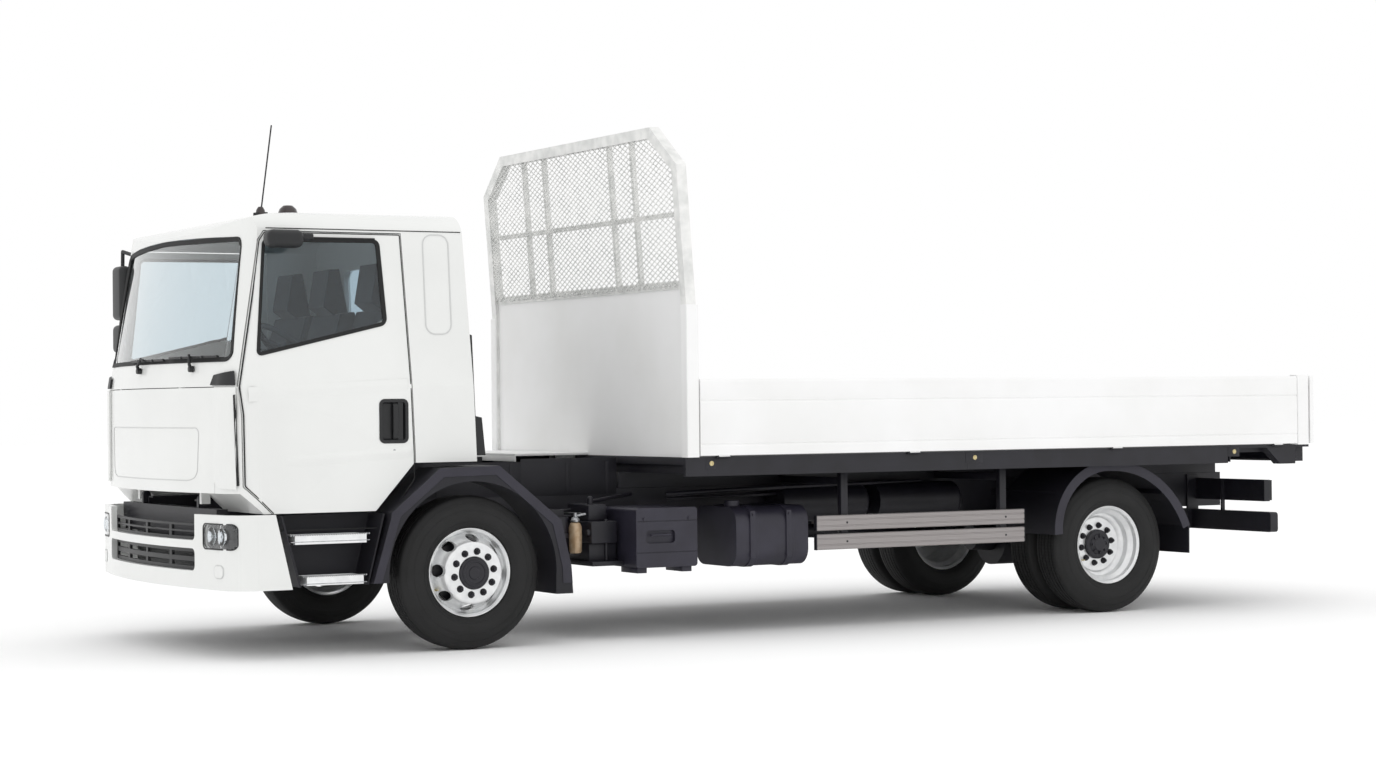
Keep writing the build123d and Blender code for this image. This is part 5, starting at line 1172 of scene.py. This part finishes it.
def arcPoints(a, b, c, count, inset):
    # points from a to c on the arc through b, moved towards its centre by inset
    centre = circleThrough(a, b, c)
    radius = (Vector(a) - centre).length - inset
    start, end = ((Vector(point) - centre).angle_signed(Vector((1, 0))) for point in (a, c))
    if end > start:
        end -= 2 * pi
    angles = [start + (end - start) * i / count for i in range(count + 1)]
    return [(centre.x + radius * cos(angle), centre.y + radius * sin(angle)) for angle in angles]


def rearArc(shape, inset):
    a, b, c, d, e = shape["rearArcs"]
    return arcPoints(a, b, c, shape["arcSteps"], inset) + arcPoints(c, d, e, shape["arcSteps"], inset)[1:]


def makeBand(name, outer, inner, side, shape, centreX):
    bm = bmesh.new()
    for (a, b), (c, d) in zip(zip(outer, outer[1:]), zip(inner, inner[1:])):
        corners = [Vector((centreX + x, side * shape["outerY"], z)) for x, z in (a, b, d, c)]
        bm.faces.new([bm.verts.new(corner) for corner in corners])
    bmesh.ops.remove_doubles(bm, verts=bm.verts, dist=0.0002)
    extruded(bm, bm.faces, (0, side * shape["thickness"], 0))
    soften(addSolid(name, bm, "chassis", guardRim), 0.003, 3, 50)


frontBand = guardBand["frontOuter"], guardBand["frontInner"]
rearBand = [rearArc(guardBand, inset) for inset in (0, guardBand["rearWidth"])]
for side, word, label in sides:
    makeBand("frontGuardBand" + label, *frontBand, side, guardBand, frontAxle)
    makeBand("rearGuardBand" + label, *rearBand, side, guardBand, rearAxle)


# Body brackets with brass bolts, and the white bolts of the boards

bracketShape = {"places": [(1.352, 1.413), (3.07, 3.19), (5.02, 5.11)], "faceY": 1.2262,
                "bolts": (1.36, 1.42, 3.62, 3.7, 3.72, 5.06, 5.12)}
brackets, bolts, whiteBolts = (bmesh.new() for _ in range(3))
for side in (-1, 1):
    faceY = side * bracketShape["faceY"]
    for lowX, highX in bracketShape["places"]:
        addBoxes(brackets, [((lowX, side * 1.225, 0.92), (highX, faceY, 0.978), 0.0004),
                            ((lowX + 0.012, side * 1.226, 0.888), (lowX + 0.02, side * 1.15, 0.972), 0.001)])
        addStud(bolts, at((lowX + highX) / 2 + 0.006, faceY, 0.95), side, 0, 0.0012, 0.014, 0.013)
    for x in bracketShape["bolts"]:
        addStud(whiteBolts, at(x, side * 1.25, 1.006), side, -0.01, -0.0002, 0.009, 0.007, 12)
addSolid("bodyBrackets", brackets, "chassis", chassisEnamel)
addSolid("bracketBolts", bolts, "chassis", brass)
addSolid("boardBolts", whiteBolts, "chassis", sheet)


# Drain bottle with its pipe and bracket, tank straps and box feet

bottle = {
    "place": (0.735, -0.865, 0),
    "body": [(0, 0.47), (0.028, 0.47), (0.035, 0.48), (0.036, 0.52), (0.036, 0.61), (0.028, 0.632),
             (0.016, 0.64), (0, 0.64)],
    "cap": [(0, 0.64), (0.024, 0.64), (0.026, 0.65), (0.02, 0.662), (0.012, 0.666), (0.01, 0.688), (0, 0.69)],
    "pipe": [(0, 0, 0.67), (0.06, 0, 0.68), (0.07, 0.4, 0.68)], "pipeRadii": (0.007, 0.006),
    "bracket": ((-0.012, 0, 0.53), (0.012, 0.44, 0.545)),
}
centre = at(*bottle["place"])
bm = bmesh.new()
addLathe(bm, bottle["body"], centre, "Z", 36)
addSolid("copperBottle", bm, "chassis", copper)
bm = bmesh.new()
addLathe(bm, bottle["cap"], centre, "Z", 28)
pipe = [centre + Vector(point) for point in bottle["pipe"]]
for start, end, radius in zip(pipe, pipe[1:], bottle["pipeRadii"]):
    addRod(bm, start, end, radius)
low, high = (centre + Vector(corner) for corner in bottle["bracket"])
addBox(bm, low, high, 0.001)
addSolid("bottleFittings", bm, "chassis", zinc)

bm = bmesh.new()
low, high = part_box("fuel_tank")
for share in (0.22, 0.72):
    x = low.x + (high.x - low.x) * share
    addBox(bm, (x - 0.016, low.y - 0.0018, low.z + 0.055), (x + 0.016, low.y + 0.01, high.z - 0.055), 0.0008)
    addRod(bm, (x, low.y - 0.002, high.z - 0.075), (x, low.y - 0.01, high.z - 0.075), 0.006, None, 6)
low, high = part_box("battery_box")
handleX = (low.x + high.x) / 2 - 0.04
addRod(bm, (handleX - 0.06, low.y - 0.0015, 0.565), (handleX + 0.06, low.y - 0.0015, 0.565), 0.006, None, 14)
for x in (low.x + 0.05, high.x - 0.05):
    addBox(bm, (x - 0.03, low.y + 0.03, low.z - 0.03), (x + 0.03, low.y + 0.22, low.z + 0.004), 0.003)
    addRod(bm, (x, low.y - 0.001, high.z - 0.06), (x, low.y - 0.006, high.z - 0.06), 0.009)
addSolid("boxFittings", bm, "chassis", litBoxEnamel)
print("fittings made")


# Wipers: bowed arms over flat blades, in place of the plain CAD rods

wiperShape = {
    "wipers": [
        # pivot y, blade start y, blade end y, blade height
        (-0.64, -0.88, -0.37, 1.54),
        (0.06, -0.29, 0.24, 1.533),
    ],
    "glassX": -1.405, "glassZ": 1.385, "glassBend": 3.91, "glassLean": 9.5,
    "bladeShares": (0, 0.25, 0.5, 0.75, 1), "clipShares": (0.28, 0.5, 0.72),
}


def frontPoint(y, z, proud):
    # a point standing proud of the windscreen above the belt line
    bend = y * y / (2 * wiperShape["glassBend"])
    lean = (z - wiperShape["glassZ"]) * tan(radians(wiperShape["glassLean"]))
    return at(wiperShape["glassX"] + bend + lean - proud, y, z)


bm = bmesh.new()
for pivotY, startY, endY, bladeZ in wiperShape["wipers"]:
    middleY = (startY + endY) / 2
    foot = frontPoint(pivotY, 1.48, 0.016)
    knuckle = Vector((frontPoint(pivotY, 1.5, 0.024).x, pivotY + 0.01, 1.505))
    elbow = Vector((frontPoint(middleY, bladeZ, 0.03).x, middleY * 0.6 + pivotY * 0.4, bladeZ + 0.012))
    grasp = Vector((frontPoint(middleY, bladeZ, 0.026).x, middleY, bladeZ + 0.004))
    addRod(bm, foot + Vector((0.012, 0, 0)), foot - Vector((0.012, 0, 0)), 0.017, 0.015)
    for start, end, thick, thin in [(foot, knuckle, 0.01, 0.0085), (knuckle, elbow, 0.008, 0.0065),
                                    (elbow, grasp, 0.0065, 0.006)]:
        addRod(bm, start, end, thick, thin, 14)
        addBall(bm, end, thin * 1.02, 14, 8)
    blade = [frontPoint(startY + (endY - startY) * share, bladeZ, 0.0105)
             for share in wiperShape["bladeShares"]]
    rib = Vector((-0.006, 0, 0.002))
    for a, b in zip(blade, blade[1:]):
        addRod(bm, a, b, 0.006, None, 10)
        addRod(bm, a + rib, b + rib, 0.0045, None, 10)
    for share in wiperShape["clipShares"]:
        clip = frontPoint(startY + (endY - startY) * share, bladeZ, 0)
        addBox(bm, clip + Vector((-0.024, -0.012, -0.006)), clip + Vector((-0.008, 0.012, 0.007)), 0.002)
addSolid("wiperArms", bm, bodyOf["wipers"], blackAbs, 40, ["wipers"])


# Black strips for the slots of the front corners, painted shade of the slots; teeth of the step treads and the
# rear corner plates

cornerSlotShade = [(-1.266, 1.345), (-1.252, 1.345), (-1.24, 0.885), (-1.254, 0.885)]
sideSurface = surfaceOf("cab_shell", "corner_panels", "door_left", "door_right")
bm = bmesh.new()
for side in (-1, 1):
    addTrimPlate(bm, sidePoints(side, cornerSlotShade), 0.004, sideSurface, (0, -side, 0), 0.0018, 0.002, 0.05)
addPiece("cornerSlotShades", bm, bodyOf["corner_panels"], rubber, 35)

treadShape = {"teeth": 34, "rows": [
    # start x, end x, low z, high z
    (-1.004, -0.568, 0.583, 0.63),
    (-0.938, -0.586, 0.369, 0.42),
]}
treadLow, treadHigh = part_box("step_treads")
bm = bmesh.new()
for side in (-1, 1):
    outerY = treadHigh.y if side > 0 else treadLow.y
    for startX, endX, lowZ, highZ in treadShape["rows"]:
        step = (endX - startX) / treadShape["teeth"]
        for index in range(treadShape["teeth"]):
            x = startX + step * index
            addBox(bm, at(x + step * 0.2, outerY - side * 0.012, highZ - 0.004),
                   at(x + step * 0.75, outerY, highZ + 0.004), 0.0008, 1)
        addBox(bm, at(startX + 0.004, outerY - side * 0.0015, lowZ + 0.012),
               at(endX - 0.004, outerY + side * 0.0008, lowZ + 0.016), 0.0004, 1)
addSolid("treadTeeth", bm, bodyOf["step_treads"], zinc)

# the deck's edge rail ends ahead of the rear posts, with a wedge plate below the floor in its place
railCut = {"x": [(5.02, 5.31), (5.309, 5.72)], "y": (1.17, 1.3), "z": (0.86, 0.9705),
           "plate": [(5.312, 0.984), (5.56, 0.984), (5.56, 0.868), (5.44, 0.868)], "plateY": 1.16,
           "plateWidth": 0.0645}
for startX, endX in railCut["x"]:
    cutter = bmesh.new()
    for side in (-1, 1):
        innerY, outerY = (side * y for y in railCut["y"])
        addBox(cutter, at(startX, innerY, railCut["z"][0]), at(endX, outerY, railCut["z"][1]))
    bmesh.ops.recalc_face_normals(cutter, faces=cutter.faces)
    cutAway(floorPiece, cutter)
bm = bmesh.new()
for side in (-1, 1):
    addPlate(bm, [at(x, side * railCut["plateY"], z) for x, z in railCut["plate"]],
             (0, side * railCut["plateWidth"], 0))
addSolid("rearCornerPlates", bm, "chassis", chassisEnamel)


# Valve block, pipes and hoses between the front wheel and the battery box

valveShape = {
    "pipes": [
        # start, end, radius
        ((0.64, -0.64, 0.69), (0.94, -0.64, 0.7), 0.009),
        ((0.64, -0.7, 0.662), (0.94, -0.7, 0.668), 0.007),
        ((0.86, -0.8, 0.45), (0.86, -0.8, 0.76), 0.016),
        ((0.905, -0.9, 0.43), (0.905, -0.9, 0.64), 0.012),
        ((0.86, -0.8, 0.745), (1.24, -0.56, 0.77), 0.011),
        ((1.4, -0.7, 0.77), (2.2, -0.64, 0.79), 0.014),
        ((2.2, -0.64, 0.79), (3.2, -0.56, 0.8), 0.012),
        ((1.44, -0.62, 0.74), (3, -0.52, 0.76), 0.009),
    ],
    "blocks": [
        # two corners, edge width
        ((0.8, -0.93, 0.52), (0.96, -0.56, 0.64), 0.008),
        ((0.82, -0.86, 0.64), (0.93, -0.6, 0.73), 0.006),
        ((0.78, -0.98, 0.4), (0.975, -0.56, 0.425), 0.004),
        # the last block extends the block down as a dark fill: painted shade closing the gap below the valve
        # block
        ((0.8, -0.9, 0.42), (0.97, -0.6, 0.522), 0.01),
    ],
    "ports": (-0.9, -0.76, -0.62), "bracket": ((0.64, -0.56, 0.6), (1, -0.4253, 0.64), 0.004),
}
bm = bmesh.new()
for start, end, radius in valveShape["pipes"]:
    addRod(bm, at(*start), at(*end), radius, None, 16)
    for spot in (start, end):
        addBall(bm, at(*spot), radius, 16, 10)
addBoxes(bm, valveShape["blocks"])
for y in valveShape["ports"]:
    addRod(bm, at(0.8, y, 0.58), at(0.784, y, 0.58), 0.02, 0.016)
addBoxes(bm, [valveShape["bracket"]])
addSolid("valveBlock", bm, "chassis", chassisEnamel)
print("chassis fittings made")


# Black cases of the tail lamps, and the drop sides' dark feet

lampCase = {"y": (0.71, 1.05), "wall": 0.004, "shorter": 0.003, "edge": 0.0008}
low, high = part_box("tail_lamps")
wall, endX = lampCase["wall"], high.x - lampCase["shorter"]
bm = bmesh.new()
for side in (-1, 1):
    lowY, highY = sorted(side * y for y in lampCase["y"])
    for start, end in [((lowY - wall, high.z), (highY + wall, high.z + wall)),
                       ((lowY - wall, low.z - wall), (highY + wall, low.z)),
                       ((lowY - wall, low.z - wall), (lowY, high.z + wall)),
                       ((highY, low.z - wall), (highY + wall, high.z + wall))]:
        addBox(bm, (low.x, *start), (endX, *end), lampCase["edge"], 1)
addSolid("tailLampCases", bm, bodyOf["tail_lamps"], blackAbs)

boardFoot = 0.9865
for side, word, label in sides:
    paintFaces(bpy.data.objects["side_board_" + word + "Skin"], chassisEnamel,
               lambda face: face.center.z < boardFoot)
print("rear dressed")


# Dark seams round the doors and below the roof

seamShape = {
    "door": [(-1.1195, 2.126), (-1.0885, 2.1705), (-0.3465, 2.1705), (-0.2995, 1.035), (-0.2985, 0.901),
             (-0.481, 0.6515), (-1.0745, 0.6515), (-1.0745, 0.742), (-1.2165, 0.882), (-1.2205, 1.242),
             (-1.2375, 1.384)],
    "roof": rectangle(-1.08, 0, 2.1925, 2.1875),
}
bm = bmesh.new()
for side, word, label in sides:
    inwards = (0, -side, 0)
    edge = bmesh.new()
    addTrimRing(edge, sidePoints(side, seamShape["door"]), 0.008, 0.005, surfaceOf("door_" + word), inwards,
                0.0008, 0.004)
    addPiece("doorSeam" + label, edge, "door_" + word, rubber, 35)
    addTrimPlate(bm, sidePoints(side, seamShape["roof"]), 0.002, cabSurface, inwards, 0.0012, 0.003, 0.06)
addPiece("bodySeams", bm, "cab", rubber, 35)


# Mirrors: rounded shells on bent tubes, in place of the plain CAD shapes

mirrorShape = {
    "arms": [(-1.1, 1.0185, 2.15), (-1.14, 1.17, 2.185), (-1.15, 1.18, 1.5), (-1.16, 1.081, 1.452)],
    "armRadius": 0.011, "housings": [(1.79, 2.1), (1.6, 1.762)], "glassInset": 0.031,
}
arms = [at(*spot) for spot in mirrorShape["arms"]]
bm = bmesh.new()
for start, end in zip(arms, arms[1:]):
    addRod(bm, start, end, mirrorShape["armRadius"], None, 18)
    addBall(bm, end, mirrorShape["armRadius"], 18, 10)
glass = bmesh.new()
for lowZ, highZ in mirrorShape["housings"]:
    inset = mirrorShape["glassInset"]
    addBoxes(bm, [((-1.19, 1.066, lowZ), (-1.12, 1.234, highZ), 0.03)], 6)
    addBoxes(glass, [((-1.1205, 1.097, lowZ + inset), (-1.119, 1.203, highZ - inset), 0.0006)], 1)
addSolid("twinMirrorShells", bm, "door_right", blackAbs, 35, ["mirror_right"])
addSolid("twinMirrorGlass", glass, "door_right", silvered)
bm = bmesh.new()
addBoxes(bm, [((-1.12, -1.173, 2.084), (-0.925, -1.061, 2.175), 0.036)], 6)
addBoxes(bm, [((-0.935, -1.092, 2.13), (-0.85, -1.017, 2.16), 0.007)], 4)
addSolid("kerbMirrorShell", bm, "door_left", blackAbs, 35, ["kerb_mirror"])
print("seams and mirrors made")
